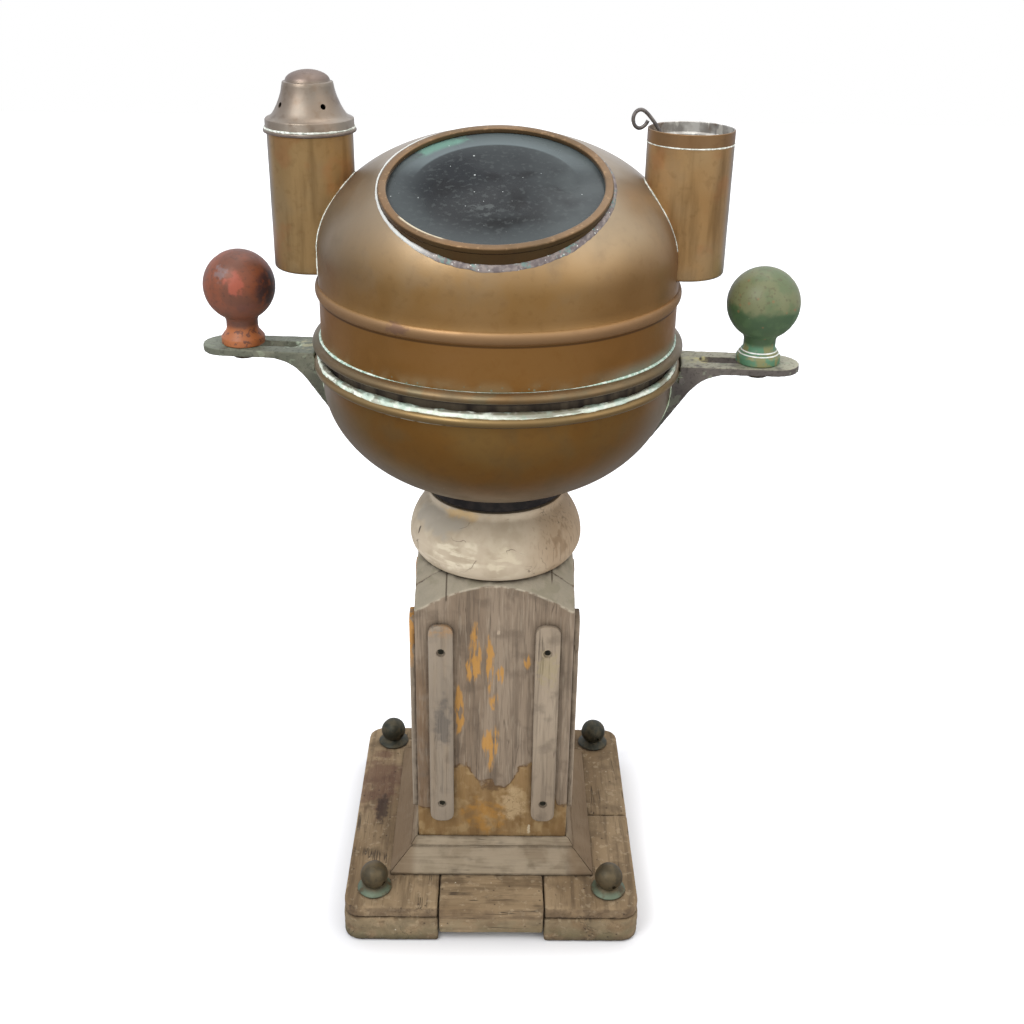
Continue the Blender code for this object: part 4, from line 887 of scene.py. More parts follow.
def window_collar_brass():
    return Brass("window_collar_brass", (98, 80, 52), (94, 70, 44), (80, 68, 48),
                 0.3).close(rougher=0.08)


def cap_brass():
    """Greyer brass with a pink crown and painted shade on the bead at its foot."""
    f = Brass("cap_brass", (150, 144, 134), (138, 124, 110), (136, 132, 124))
    z = f.along("Z")
    f.paint((122, 107, 100), f.step(z, 0.944, 0.949), 0.80)
    f.paint((100, 84, 70), f.blot(14, 0.50, 0.68), 0.45)
    # Painted shade: purple-dark on the lower bead at the cap's foot, as a dull coat.
    f.deposit_and_painted_light((74, 58, 62), f.step(z, TUBE_TOP_Z + 0.0045, TUBE_TOP_Z + 0.0020), 0.5)
    f.paint((222, 206, 176), f.specks(9, 0.8, 0.12), 0.8)
    return f.close(rougher=f.times(f.step(z, 0.946, 0.951), 0.10))


def tin():
    """Tinned sheet: silvery, with milky runs and a brown side."""
    f = Finish("tinned_sheet", (166, 162, 156))
    cloud = f.noise(14, 5)
    f.paint((206, 204, 198), f.step(cloud, 0.40, 0.62))
    f.paint((230, 228, 220), f.blot(8, 0.56, 0.62, 4, (1, 1, 0.3)), 0.8)
    f.paint((128, 102, 76), f.blot(20, 0.56, 0.66), 0.5)
    brown = f.patch(LAMP_CENTRE["right"] + Vector((-0.036, 0.010, TUBE_TOP_Z)), (0.022, 0.04, 0.04),
                    0.4, 12)
    f.paint((112, 86, 62), brown, 0.75)
    return f.close(cloud, 0.2, roughness=f.step(cloud, 0.3, 0.7, 0.28, 0.5), metallic=0.6)


def deposit(name, pale, shade, grain_colour, share=0.5):
    """A crust of verdigris or solder: chalky lumps with coloured grains."""
    f = Finish(name, shade)
    lumps = f.noise(4, 5)
    grains = f.specks(2.2, 1.1, share)
    f.paint(pale, f.step(lumps, 0.40, 0.62))
    f.paint(grain_colour, grains, 0.6)
    return f.close(f.plus(lumps, f.times(grains, 0.6)), 0.4, roughness=0.75, specular=0.3)


def ledge_crust():
    """White verdigris, streaked with brown away from the left front."""
    f = Finish("ledge_verdigris", (206, 214, 198))
    x = f.along("X")
    away = f.step(x, -0.03, 0.03)
    streaks = f.blot(14, 0.44, 0.56, 5, (0.35, 0.35, 2.5))
    lumps = f.noise(5, 5)
    f.paint((228, 232, 222), f.step(lumps, 0.44, 0.60), 0.8)
    crest = f.step(f.along("Z"), RIM_TOP_Z + 0.0022, RIM_TOP_Z + 0.0034)
    f.paint((92, 84, 66), crest, f.blot(8, 0.30, 0.50), 0.85)
    f.paint((110, 104, 84), streaks, away, 0.75)
    f.paint((112, 106, 86), f.blot(9, 0.56, 0.64), f.step(x, -0.09, -0.13), 0.7)
    f.paint((150, 182, 168), f.blot(20, 0.50, 0.62), 0.45)
    return f.close(lumps, 0.3, roughness=0.75, specular=0.3)


def solder():
    """The grey-lavender solder round the window: bright grains and teal runs."""
    f = Finish("window_solder", (106, 97, 97))
    lumps = f.noise(5, 5)
    bright = f.specks(2.4, 0.8, 0.25)
    f.paint((140, 130, 126), f.step(lumps, 0.38, 0.62))
    f.paint((100, 136, 130), f.blot(16, 0.50, 0.58), f.blot(3, 0.46, 0.56), 0.7)
    f.paint((214, 216, 212), f.step(f.along("X"), -0.050, -0.085), 0.8)
    f.paint((220, 220, 216), bright)
    return f.close(f.plus(lumps, f.times(bright, 0.7)), 0.3, roughness=0.55, metallic=0.3)


def bracket_bronze(side, base, light, dark, top, slot):
    """Cast bronze: pitted skin, paler level faces, verdigris at the roots and a deposit in the slot."""
    sign = -1 if side == "left" else 1
    f = Finish(f"bracket_bronze_{side}", base)
    pits = f.noise(3.2, 4)
    cloud = f.noise(30, 4)
    f.paint(light, f.step(cloud, 0.40, 0.62))
    f.paint(top, f.step(f.facing_up(), 0.60, 0.90), f.blot(18, 0.22, 0.50), 0.85)
    f.paint(dark, f.step(pits, 0.52, 0.66), 0.45)
    f.paint((150, 164, 142), f.hollows(0.008), f.blot(7, 0.44, 0.56), 0.7)
    root = f.patch(HEAD @ Vector((sign * 0.205, 0, ARM_TOP_Z)), (0.016, 0.020, 0.006), 0.5, 9)
    f.paint((186, 182, 146), root, f.blot(9, 0.42, 0.54), f.facing_up(), 0.7)
    f.paint((150, 160, 136), f.blot(15, 0.60, 0.65, 5), 0.35)
    f.paint(dark, f.step(f.along("Z"), ARM_TOP_Z - 0.012, ARM_TOP_Z - 0.030), 0.45)
    f.paint(slot,
            f.patch(HEAD @ Vector((sign * 0.222, -0.002, ARM_TOP_Z - 0.002)), (0.015, 0.012, 0.008),
                          0.35, 7), f.blot(5, 0.36, 0.52), 0.9)
    return f.close(f.plus(pits, f.times(cloud, 0.5)), 0.35, roughness=0.62, metallic=0.3,
                   specular=0.4)


def nut_bronze():
    """Olive-brown cap nuts with a pale teal flange."""
    f = Finish("nut_bronze", (70, 62, 45))
    cloud = f.noise(10, 5)
    z = f.along("Z")
    f.paint((88, 76, 54), f.step(cloud, 0.38, 0.62))
    f.paint((96, 110, 92), f.step(z, BASE_TOP_Z + 0.0075, BASE_TOP_Z + 0.0040),
            f.blot(12, 0.34, 0.52), 0.8)
    f.paint((130, 110, 82), f.step(z, BASE_TOP_Z + 0.032, BASE_TOP_Z + 0.040), 0.35)
    return f.close(cloud, 0.25, roughness=0.52, metallic=0.5)


def plain_metal(name, display, other, roughness=0.45, metallic=0.9):
    """A small, hidden or dark metal part, with a little grain."""
    f = Finish(name, display)
    cloud = f.noise(8, 4)
    f.paint(other, f.step(cloud, 0.35, 0.65))
    return f.close(f.noise(1.5, 3), 0.05, metallic=metallic,
                   roughness=f.step(cloud, 0.3, 0.7, roughness - 0.08, roughness + 0.12))


# ---------------------------------------------------------------- finishes: paint, glass, paper

class Paint(Finish):
    def __init__(self, name, skin, worn, dark):
        super().__init__(name, skin)
        cloud = self.noise(22, 5)
        mottle = self.noise(4, 5)
        self.paint(worn, self.step(cloud, 0.42, 0.60))
        self.paint(dark, self.specks(6.5, 1.7, 0.35), 0.5)
        self.paint(dark, self.step(mottle, 0.54, 0.66), 0.45)
        self.height = self.plus(cloud, self.times(mottle, 0.5))

    def close(self):
        return super().close(self.height, 0.3, roughness=0.46, specular=0.45)


def red_paint():
    """Port ball: brown-orange paint, a redder patch, purple-grey bare spots and painted shade below and
    on one flank.
    """
    f = Paint("ball_red", (116, 62, 38), (100, 58, 40), (70, 46, 36))
    ball = HEAD @ Vector((-BALL_X, 0, BALL_CENTRE_Z))
    z = f.along("Z")
    f.paint((158, 78, 58),
            f.patch(ball + Vector((0.004, -0.032, 0.010)), (0.013, 0.02, 0.014), 0.5, 9), 0.7)
    f.paint((112, 92, 90),
            f.patch(ball + Vector((-0.012, -0.028, 0.019)), (0.009, 0.02, 0.008), 0.6, 7), 0.8)
    f.paint((108, 60, 48),
            f.patch(ball + Vector((0.012, -0.030, -0.016)), (0.014, 0.02, 0.007), 0.5, 8), 0.6)
    # Painted shade: darker below the ball's middle.
    f.paint((86, 58, 46), f.step(z, BALL_CENTRE_Z, BALL_CENTRE_Z - 0.030), 0.5)
    # Painted shade in blots on the lower flank that faces the bowl.
    flank = f.step(f.vector("DOT_PRODUCT", f.vector("SUBTRACT", f.place, tuple(ball)),
                            (0.93, -0.36, 0)),
                   BALL_RADIUS * 0.78, BALL_RADIUS * 0.93)
    low = f.step(z, BALL_CENTRE_Z - 0.03, BALL_CENTRE_Z - 0.01)
    f.paint((54, 41, 43), flank, low, f.blot(7, 0.36, 0.54), 0.9)
    foot = f.step(z, ARM_TOP_Z + 0.024, ARM_TOP_Z + 0.017)
    f.paint((176, 104, 56), foot, 0.7)
    f.paint((90, 58, 48), foot, f.blot(5, 0.57, 0.62), 0.8)
    f.paint((235, 225, 210), f.specks(21, 0.9, 0.16))
    return f.close()


def green_paint():
    """Starboard ball: khaki on top, green below, with rust freckles."""
    f = Paint("ball_green", (104, 108, 76), (90, 102, 70), (82, 72, 52))
    z = f.along("Z")
    edge = f.times(f.minus(f.noise(20, 4), 0.5), 0.030)
    lower = f.step(f.plus(z, edge), BALL_CENTRE_Z + 0.006, BALL_CENTRE_Z - 0.004)
    f.paint((50, 76, 48), lower, 0.9)
    f.paint((68, 92, 58), lower, f.blot(12, 0.46, 0.62), 0.6)
    f.paint((132, 92, 62), f.specks(8, 2.0, 0.30), 0.5)
    f.paint((196, 198, 168), f.specks(11, 1.0, 0.18), 0.8)
    foot = f.step(z, ARM_TOP_Z + 0.024, ARM_TOP_Z + 0.018)
    f.paint((90, 138, 110), foot, 0.65)
    f.paint((136, 120, 70), foot, f.blot(11, 0.44, 0.56), 0.65)
    return f.close()


# Wiped places on the pane: (across, up, half width, half height)
WIPED = ((-0.045, -0.002, 0.022, 0.024), (0.012, -0.062, 0.036, 0.020),
         (0.030, 0.028, 0.017, 0.010), (0.022, -0.020, 0.014, 0.026),
         (-0.004, 0.020, 0.013, 0.012))


def window_glass():
    """A thick dark pane under a cloudy grey film, with wiped places, dust and a pale rear rim."""
    f = Finish("window_glass", (17, 20, 22))
    depth = -BEZEL_THICKNESS
    centre = WINDOW @ Vector((0, 0, depth))
    haze = f.noise(70, 5)
    f.paint((42, 46, 47), f.step(haze, 0.44, 0.66), 0.85)
    for across, up, wide, tall in WIPED:
        wiped = f.patch(WINDOW @ Vector((across, up, depth)), (wide, tall, 0.03), 0.55, 26, 0.8)
        f.paint((2, 3, 4), wiped)
    smear = f.patch(WINDOW @ Vector((-0.006, -0.040, depth)), (0.030, 0.016, 0.02), 0.7, 16)
    f.paint((76, 81, 80), smear, f.blot(6, 0.46, 0.60), 0.6)
    f.paint((70, 75, 74), f.blot(5, 0.54, 0.66, 5), 0.35)
    offset = f.vector("SUBTRACT", f.place, tuple(centre))
    away = f.vector("LENGTH", offset)
    rear = f.step(f.vector("DOT_PRODUCT", offset, (0, 1, 0.35)), 0.020, 0.060)
    f.paint((112, 124, 126), f.step(away, 0.080, 0.083), rear, 0.8)
    f.paint((74, 80, 81), f.step(away, 0.060, 0.100), 0.60)
    right = f.step(f.along("X"), 0.020, 0.075)
    f.paint((72, 78, 78), right, f.blot(40, 0.30, 0.60, 3), 0.55)
    corner = f.patch(WINDOW @ Vector((-0.058, 0.075, depth)), (0.04, 0.03, 0.03), 0.4, 12)
    f.paint((104, 140, 128), f.step(away, 0.088, 0.096), corner, 0.85)
    dust = f.most(f.specks(9, 0.75, 0.35), f.specks(17, 1.2, 0.25))
    f.paint((190, 196, 194), dust, 0.85)
    roughness = f.plus(f.step(haze, 0.38, 0.62, 0.16, 0.38), f.times(dust, 0.4))
    return f.close(f.plus(haze, f.times(dust, 0.4)), 0.08, roughness=roughness, specular=0.10)


def compass_glass():
    f = Finish("compass_glass", (214, 222, 220))
    smudge = f.noise(30, 4)
    return f.close(smudge, 0.02, roughness=f.step(smudge, 0.4, 0.7, 0.03, 0.2), alpha=0.12,
                   specular=0.6)


def card_paper():
    """Yellowed card stock with foxing."""
    f = Finish("card_paper", (226, 218, 194))
    f.paint((206, 190, 154), f.blot(34, 0.40, 0.64, 5))
    f.paint((156, 124, 84), f.specks(12, 1.6, 0.18), 0.5)
    return f.close(f.noise(1.2, 3), 0.05, roughness=0.8)


# ---------------------------------------------------------------- pedestal

GRAIN = {"X": Vector((1, 0, 0)), "Y": Vector((0, 1, 0)), "Z": Vector((0, 0, 1))}


def wooden(node, finish, slot, grain, voxel=0.0020, extra=(), **wearing):
    """Rebuilds a wooden CAD piece finely: holes cut, mesh evened, surface worn."""
    item = copy_of(node)
    if extra:
        carve(item, extra)
    remesh(item, voxel)
    weather(item, GRAIN[grain], **wearing)
    return finish_piece(item, finish, "pedestal", [node], crease=60)


def build_base():
    long_wood = base_wood("base_wood_long", "Y")
    cross_wood = base_wood("base_wood_cross", "X")
    boards = {"bearer_left": "Y", "bearer_right": "Y", "top_board_left": "Y",
              "top_board_right_front": "Y",
              "top_board_right_back": "Y", "base_middle_board": "X"}
    for seed, (node, grain) in enumerate(boards.items()):
        finish = long_wood if grain == "Y" else cross_wood
        wooden(node, finish, "base_wood", grain, rounding=8, relief=0.35, checks=1.2, seed=seed)


def moulding_section():
    """The moulding's section as (distance from the middle, height): lip, slope, quirk and top bevel."""
    low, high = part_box("moulding_front")
    inner, outer, step = -high.y, -low.y, 0.0985
    return [(inner, low.z), (outer, low.z), (outer, low.z + 0.0035),
            (step + 0.0010, high.z - 0.0110),
            (step - 0.0016, high.z - 0.0106), (step - 0.0016, high.z - 0.0086),
            (step, high.z - 0.0079),
            (inner + 0.0030, high.z), (inner, high.z)]


def finely(outline, size):
    """The same closed outline with its long edges split."""
    result = []
    for start, end in zip(outline, outline[1:] + outline[:1]):
        count = max(1, math.ceil(math.dist(start, end) / size))
        result += [tuple(Vector(start).lerp(Vector(end), step / count)) for step in range(count)]
    return result


def mitred(section, turn, stations=150, mitre_gap=0.0002):
    """Draws a section along one side of a square, with mitred ends."""
    mesh = bmesh.new()
    rings = []
    for station in range(stations + 1):
        share = 2 * station / stations - 1
        rings.append([mesh.verts.new(turn @ Vector((share * (distance - mitre_gap), -distance,
                                                    height)))
                      for distance, height in section])
    for ring, following in zip(rings, rings[1:]):
        for index in range(len(section)):
            after = (index + 1) % len(section)
            mesh.faces.new((ring[index], ring[after], following[after], following[index]))
    mesh.faces.new(rings[0])
    mesh.faces.new(rings[-1])
    return mesh


def build_moulding():
    finishes = {grain: moulding_wood(f"moulding_wood_{grain.lower()}", grain) for grain in "XY"}
    section = finely(softened(moulding_section(), 0.0006, 2), 0.0016)
    for quarter, side in enumerate(("front", "right", "back", "left")):
        grain = "XY"[quarter % 2]
        mesh = mitred(section, Matrix.Rotation(quarter * math.pi / 2, 4, "Z"))
        item = to_object(f"moulding_{side}_fine", mesh)
        weather(item, GRAIN[grain], rounding=4, relief=0.12, checks=0.45, inset=0.12,
                seed=20 + quarter)
        finish_piece(item, finishes[grain], "pedestal", [f"moulding_{side}"],
                     crease=60)


def build_column():
    finish = column_wood()
    for seed, side in enumerate(("front", "back", "left", "right")):
        wooden(f"column_{side}", finish, "column_wood", "Z", rounding=6, checks=0.4, inset=0.08,
               seed=30 + seed)


def screw_places(node, outward):
    """The two screw holes of a batten, on its outer face."""
    low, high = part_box(node)
    face = Vector((low.x if outward.x < 0 else high.x, low.y if outward.y < 0 else high.y, 0))
    centre = (low + high) / 2
    x = face.x if outward.x else centre.x
    y = face.y if outward.y else centre.y
    return (("top", Vector((x, y, high.z - SCREW_FROM_TOP))),
            ("bottom", Vector((x, y, low.z + SCREW_FROM_BOTTOM))))


def build_battens():
    finish = batten_wood("batten_wood")
    flank = batten_wood("batten_wood_flank", flank=True)
    screw_metal = plain_metal("screw_metal", (34, 34, 28), (56, 54, 42), 0.6, 0.5)
    ways = {"front": (0, -1), "right": (1, 0), "back": (0, 1), "left": (-1, 0)}
    for turn, (side, way) in enumerate(ways.items()):
        outward = Vector((*way, 0))
        facing = outward.to_track_quat("Z", "Y").to_matrix().to_4x4()
        for hand in "ab":
            node = f"batten_{side}_{hand}"
            holes = []
            for end, place in screw_places(node, outward):
                seat = Matrix.Translation(place) @ facing
                holes.append(lathe([(0, -SCREW_SINK), (SCREW_HOLE_RADIUS, -SCREW_SINK),
                                    (SCREW_HOLE_RADIUS * 1.15, 0.002), (0, 0.002)], 24, seat))
                build_screw(f"screw_{side}_{hand}_{end}", seat, screw_metal)
            wooden(node, flank if side == "left" else finish, "batten_wood", "Z", 0.0012, holes,
                   rounding=5, relief=0.15, checks=0.4, seed=40 + turn)


def build_screw(name, seat, finish):
    """A slotted countersunk head at the bottom of its hole."""
    top = -SCREW_SINK + 0.0004
    radius = SCREW_HOLE_RADIUS - GAP
    section = [(0, top - 0.001), (radius * 0.7, top - 0.001), (radius, top - 0.0002), (radius, top),
               (0, top + 0.0002)]
    item = to_object(name, lathe(softened(section, 0.0002), 32, seat))
    reach = radius * 1.2
    carve(item, [block((-reach, -0.0004, top - 0.0004), (reach, 0.0004, top + 0.001), seat)])
    finish_piece(item, finish, "pedestal")


def collar_outline():
    low, high = (corner.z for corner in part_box("collar"))
    bottom, belly, waist, top = 0.0855, 0.0976, 0.0758, 0.0775
    belly_z, waist_z = 0.4591, 0.5055
    lower = math.degrees(math.acos(bottom / belly))
    upper = math.degrees(math.acos(waist / belly))
    outline = [(0.0066, low)]
    outline += ellipse((0, belly_z), (belly, (belly_z - low) / math.sin(math.radians(lower))),
                       -lower, 0, 14)
    outline += ellipse((0, belly_z), (belly, (waist_z - belly_z) / math.sin(math.radians(upper))),
                       0, upper, 22)[1:]
    outline += [(waist + 0.0002, waist_z + 0.0025), (waist + 0.0010, waist_z + 0.0050),
                (top, high - 0.0030), (top - 0.0002, high - 0.0012), (top - 0.0015, high),
                (0.0066, high)]
    return outline


def build_collar():
    item = to_object("collar_fine", lathe(collar_outline(), 224))
    weather(item, GRAIN["Z"], rounding=3, relief=0.06, checks=0.35, inset=0.08, seed=60)
    finish_piece(item, collar_wood(), "pedestal", ["collar"], crease=50)


def build_neck():
    """The ring under the bowl, its top shaped to the bowl's underside, and the bolt in its middle."""
    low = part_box("neck_ring")[0].z
    outer = reach_of("neck_ring")
    inner = 0.030
    outline = [(inner, low), (outer - 0.001, low), (outer, low + 0.001)]
    for step in range(9):
        radius = outer + (inner - outer) * step / 8
        drop = BOWL_DEPTH * math.sqrt(1 - (radius / BOWL_RADIUS) ** 2)
        outline.append((radius, BOWL_CENTRE_Z - drop - 0.0006))
    iron = plain_metal("black_iron", (24, 22, 24), (44, 38, 36), 0.55, 0.4)
    item = to_object("neck_ring_fine", lathe(outline, 128))
    finish_piece(item, iron, "pedestal", ["neck_ring"])
    bronze = plain_metal("pivot_bronze", (120, 104, 72), (92, 80, 58))
    finish_piece(eased_copy("head_pivot_bolt", 0.0012, 3), bronze, "pedestal",
                 ["head_pivot_bolt"])


def build_deck_nuts():
    """Cap nuts: a flange, a short neck and a ball with a hole for a tommy bar."""
    near = nut_bronze()
    # Painted shade: the back nuts get a darker copy of the bronze.
    far = plain_metal("back_nut_bronze", (44, 45, 36), (76, 70, 54), 0.55, 0.5)
    for side, sign in SIDES:
        for end in ("front", "back"):
            node = f"deck_nut_{side}_{end}"
            centre = middle_of(node)
            low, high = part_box(node)
            flange = reach_of(node, high=low.z + MM, centre=centre)
            body = reach_of(node, low=low.z + 0.015, centre=centre)
            dome_z = high.z - body
            outline = [(0, low.z), (flange - 0.001, low.z), (flange, low.z + 0.001),
                       (flange, low.z + 0.0018),
                       (flange - 0.0008, low.z + 0.0028), (body + 0.0002, low.z + 0.0044),
                       (body - 0.0022, low.z + 0.0058)]
            outline += ellipse((0, dome_z), (body, body), -44, 90, 22)[:-1] + [(0, high.z)]
            place = Matrix.Translation((centre.x, centre.y, 0))
            mesh = lathe(outline, 72, place)
            dent(mesh, centre, 0.0004, 0.012, centre.x * 90)
            item = to_object(f"{node}_fine", mesh)
            turn = Matrix.Rotation(math.radians(20 if sign > 0 else 50), 4, "Z")
            level = Matrix.Rotation(math.pi / 2, 4, "X")
            seat = Matrix.Translation((centre.x, centre.y, dome_z - 0.004)) @ turn @ level
            carve(item, [rod(TOMMY_HOLE_RADIUS, -body * 2, body * 2, 24, seat)])
            finish_piece(item, near if end == "front" else far, "pedestal", [node])


# ---------------------------------------------------------------- bowl, brackets and balls

def build_bowl():
    inner = BOWL_RADIUS - BOWL_WALL
    depth = BOWL_DEPTH - BOWL_WALL
    first = -math.degrees(math.acos(BOWL_HOLE_RADIUS / BOWL_RADIUS))
    last = -math.degrees(math.acos(BOWL_SEAT_RADIUS / inner))
    seat_z = BOWL_CENTRE_Z + depth * math.sin(math.radians(last))
    rim_z = (RIM_TOP_Z + RIM_BOTTOM_Z) / 2
    rim = (RIM_RADIUS - BOWL_RADIUS, (RIM_TOP_Z - RIM_BOTTOM_Z) / 2)
    outline = ellipse((0, BOWL_CENTRE_Z), (BOWL_RADIUS, BOWL_DEPTH), first, 0, 44)
    outline += [(BOWL_RADIUS, RIM_BOTTOM_Z - 0.004)]
    outline += ellipse((BOWL_RADIUS, rim_z), rim, -90, 62, 14)
    outline += [(BOWL_RADIUS + 0.0022, RIM_TOP_Z), (inner, RIM_TOP_Z)]
    outline += ellipse((0, BOWL_CENTRE_Z), (inner, depth), 0, last, 36)
    outline.append((BOWL_HOLE_RADIUS, seat_z))
    mesh = lathe(outline, 224, HEAD)
    dent(mesh, Vector((0, 0, BOWL_CENTRE_Z)), 0.0004, 0.070, 3)
    item = to_object("bowl_shell_fine", mesh)
    finish_piece(item, bowl_brass(), "head", ["bowl_shell"])


def build_ledge_crust():
    """White verdigris on the bowl's rim, all the way round and thickest at the left front."""
    def size(turn, place):
        heap = max(0.0, math.cos(turn - math.radians(-106))) ** 4
        right = max(0.0, math.cos(turn))
        lumps = 0.9 + 0.30 * roughness_at(place, 0.016, 2) + 0.15 * roughness_at(place, 0.004, 5)
        wide = (0.0038 + 0.0006 * heap - 0.0004 * right) * lumps
        tall = (0.0042 + 0.0008 * heap - 0.0004 * right) * lumps
        return wide, tall
    level_ring("ledge_verdigris", UP * RIM_TOP_Z, SPIGOT_RADIUS + CRUST_STAND_OUT, 420, size,
               ledge_crust(),
               "head", around=14, turned=HEAD)


def build_band_line():
    """A mint-white line in the corner between the hood's wall and its band, gone in front."""
    def size(turn, place):
        share = min(max((abs(math.cos(turn)) - 0.40) / 0.35, 0.0), 1.0)
        side = share * share * (3 - 2 * share)
        uneven = 0.85 + 0.35 * roughness_at(place, 0.016, 9) + 0.15 * roughness_at(place, 0.004, 1)
        return (0.0002 + 0.0016 * side * uneven,) * 2
    crust = deposit("band_verdigris", (216, 230, 220), (160, 188, 172), (120, 160, 146), 0.25)
    level_ring("band_verdigris", UP * BAND_HIGH_Z, HOOD_RADIUS + 0.0004, 420, size, crust, "hood",
               turned=HEAD)


def build_brackets():
    finishes = {
        "left": bracket_bronze("left", (96, 98, 84), (114, 114, 98), (62, 62, 54), (128, 133, 118),
                               (196, 212, 186)),
        "right": bracket_bronze("right", (88, 82, 78), (102, 96, 90), (56, 52, 49), (176, 173, 152),
                                (198, 190, 140)),
    }
    crust = deposit("bracket_verdigris", (206, 214, 194), (160, 172, 146), (120, 152, 132), 0.35)
    for side, sign in SIDES:
        item = eased_copy(f"bracket_{side}", 0.0010, 5)
        normals = [vertex.normal.copy() for vertex in item.data.vertices]
        for vertex, normal in zip(item.data.vertices, normals):
            vertex.co += normal * 0.0002 * roughness_at(vertex.co, 0.006, 2)
        finish_piece(item, finishes[side], "head", [f"bracket_{side}"], crease=50)
        build_strap_bolt(side, sign, finishes[side])
        build_strap_crust(side, sign, crust)


def build_strap_bolt(side, sign, finish):
    """The square-headed bolt that holds the arm's root to the bowl's rim."""
    place = HEAD @ Vector((sign * 0.1950, -0.0262, ARM_TOP_Z - 0.0150))
    outward = HEAD.to_3x3() @ Vector((sign * 0.55, -1, 0.15)).normalized()
    seat = Matrix.Translation(place) @ outward.to_track_quat("Z", "Y").to_matrix().to_4x4()
    item = to_object(f"strap_bolt_{side}",
                     block((-0.0034, -0.0034, -0.004), (0.0034, 0.0034, 0.0036), seat))
    edge = item.modifiers.new("eased", "BEVEL")
    edge.width = 0.0008
    edge.segments = 3
    apply_modifiers(item)
    finish_piece(item, finish, "head")


def build_strap_crust(side, sign, finish):
    """A pale seam of verdigris where the strap lies against the bowl, on its front edge."""
    sections = []
    steps = 60
    for step in range(steps + 1):
        along = step / steps
        z = RIM_BOTTOM_Z - 0.002 - along * 0.080
        radius = BOWL_RADIUS * math.sqrt(max(0.0,
                                             1 - ((z - BOWL_CENTRE_Z) / BOWL_DEPTH) ** 2)) + 0.0008
        taper = min(max((0.655 - z) / 0.0765, 0.0), 1.0)
        across = -(0.0290 - 0.0115 * taper)
        x = math.sqrt(radius ** 2 - across ** 2)
        place = HEAD @ Vector((sign * x, across, z))
        wide = 0.0012 * max(0.15, 0.8 + roughness_at(place, 0.008, 6)) * (1 - 0.5 * along)
        sections.append((place, HEAD.to_3x3() @ Vector((0, -wide, 0)),
                         HEAD.to_3x3() @ Vector((wide, 0, 0))))
    item = to_object(f"strap_verdigris_{side}", sweep(sections, 8, closed=False))
    finish_piece(item, finish, "head", crease=80)


def ball_outline():
    """Ball, neck and foot with the stud below; heights are above the arm."""
    centre = BALL_CENTRE_Z - ARM_TOP_Z
    neck, foot, stud = 0.0168, 0.0232, 0.0062
    neck_angle = -math.degrees(math.acos(neck / BALL_RADIUS))
    neck_top = centre + BALL_RADIUS * math.sin(math.radians(neck_angle))
    outline = [(0, -0.0165), (stud - 0.001, -0.0165), (stud, -0.0155), (stud, GAP),
               (foot - 0.0010, GAP),
               (foot, 0.0014), (foot, 0.0080), (foot - 0.0008, 0.0092), (neck + 0.0022, 0.0135),
               (neck + 0.0008, 0.0152), (neck, 0.0185), (neck, neck_top - 0.0035),
               (neck + 0.0010, neck_top - 0.0008)]
    outline += ellipse((0, centre), (BALL_RADIUS, BALL_RADIUS), neck_angle + 4, 90, 40)[:-1]
    outline.append((0, centre + BALL_RADIUS))
    return outline


def build_balls():
    paints = {"left": red_paint(), "right": green_paint()}
    white = deposit("ring_paint", (236, 238, 234), (216, 220, 214), (190, 200, 192), 0.1)
    nut_metal = plain_metal("ball_nut_bronze", (52, 46, 38), (74, 66, 52), 0.6, 0.5)
    for side, sign in SIDES:
        body = f"corrector_{side}"
        place = HEAD @ Matrix.Translation((sign * BALL_X, 0, ARM_TOP_Z))
        mesh = lathe(ball_outline(), 128, place)
        for vertex in mesh.verts:
            if vertex.co.z > ARM_TOP_Z:
                flake = max(0.0, roughness_at(vertex.co, 0.007, sign) - 0.25)
                vertex.co -= (vertex.co - place @ Vector((0, 0,
                                                          0.03))).normalized() * 0.0008 * flake
        item = to_object(f"corrector_ball_{side}_fine", mesh)
        finish_piece(item, paints[side], body,
                     [f"corrector_ball_{side}"])
        nut = f"corrector_nut_{side}"
        finish_piece(eased_copy(nut, 0.0008, 3), nut_metal, body, [nut])
    centre = HEAD @ Vector((BALL_X, 0, ARM_TOP_Z))
    for number, (radius, height) in enumerate(((0.0186, 0.0142), (0.0208, 0.0112))):
        def size(turn, place, seed=number):
            return (0.00075 + 0.0002 * roughness_at(place, 0.006, seed),) * 2
        level_ring(f"ball_paint_ring_{number}", centre + UP * height, radius, 96, size, white,
                   "corrector_right")


# ---------------------------------------------------------------- hood and window

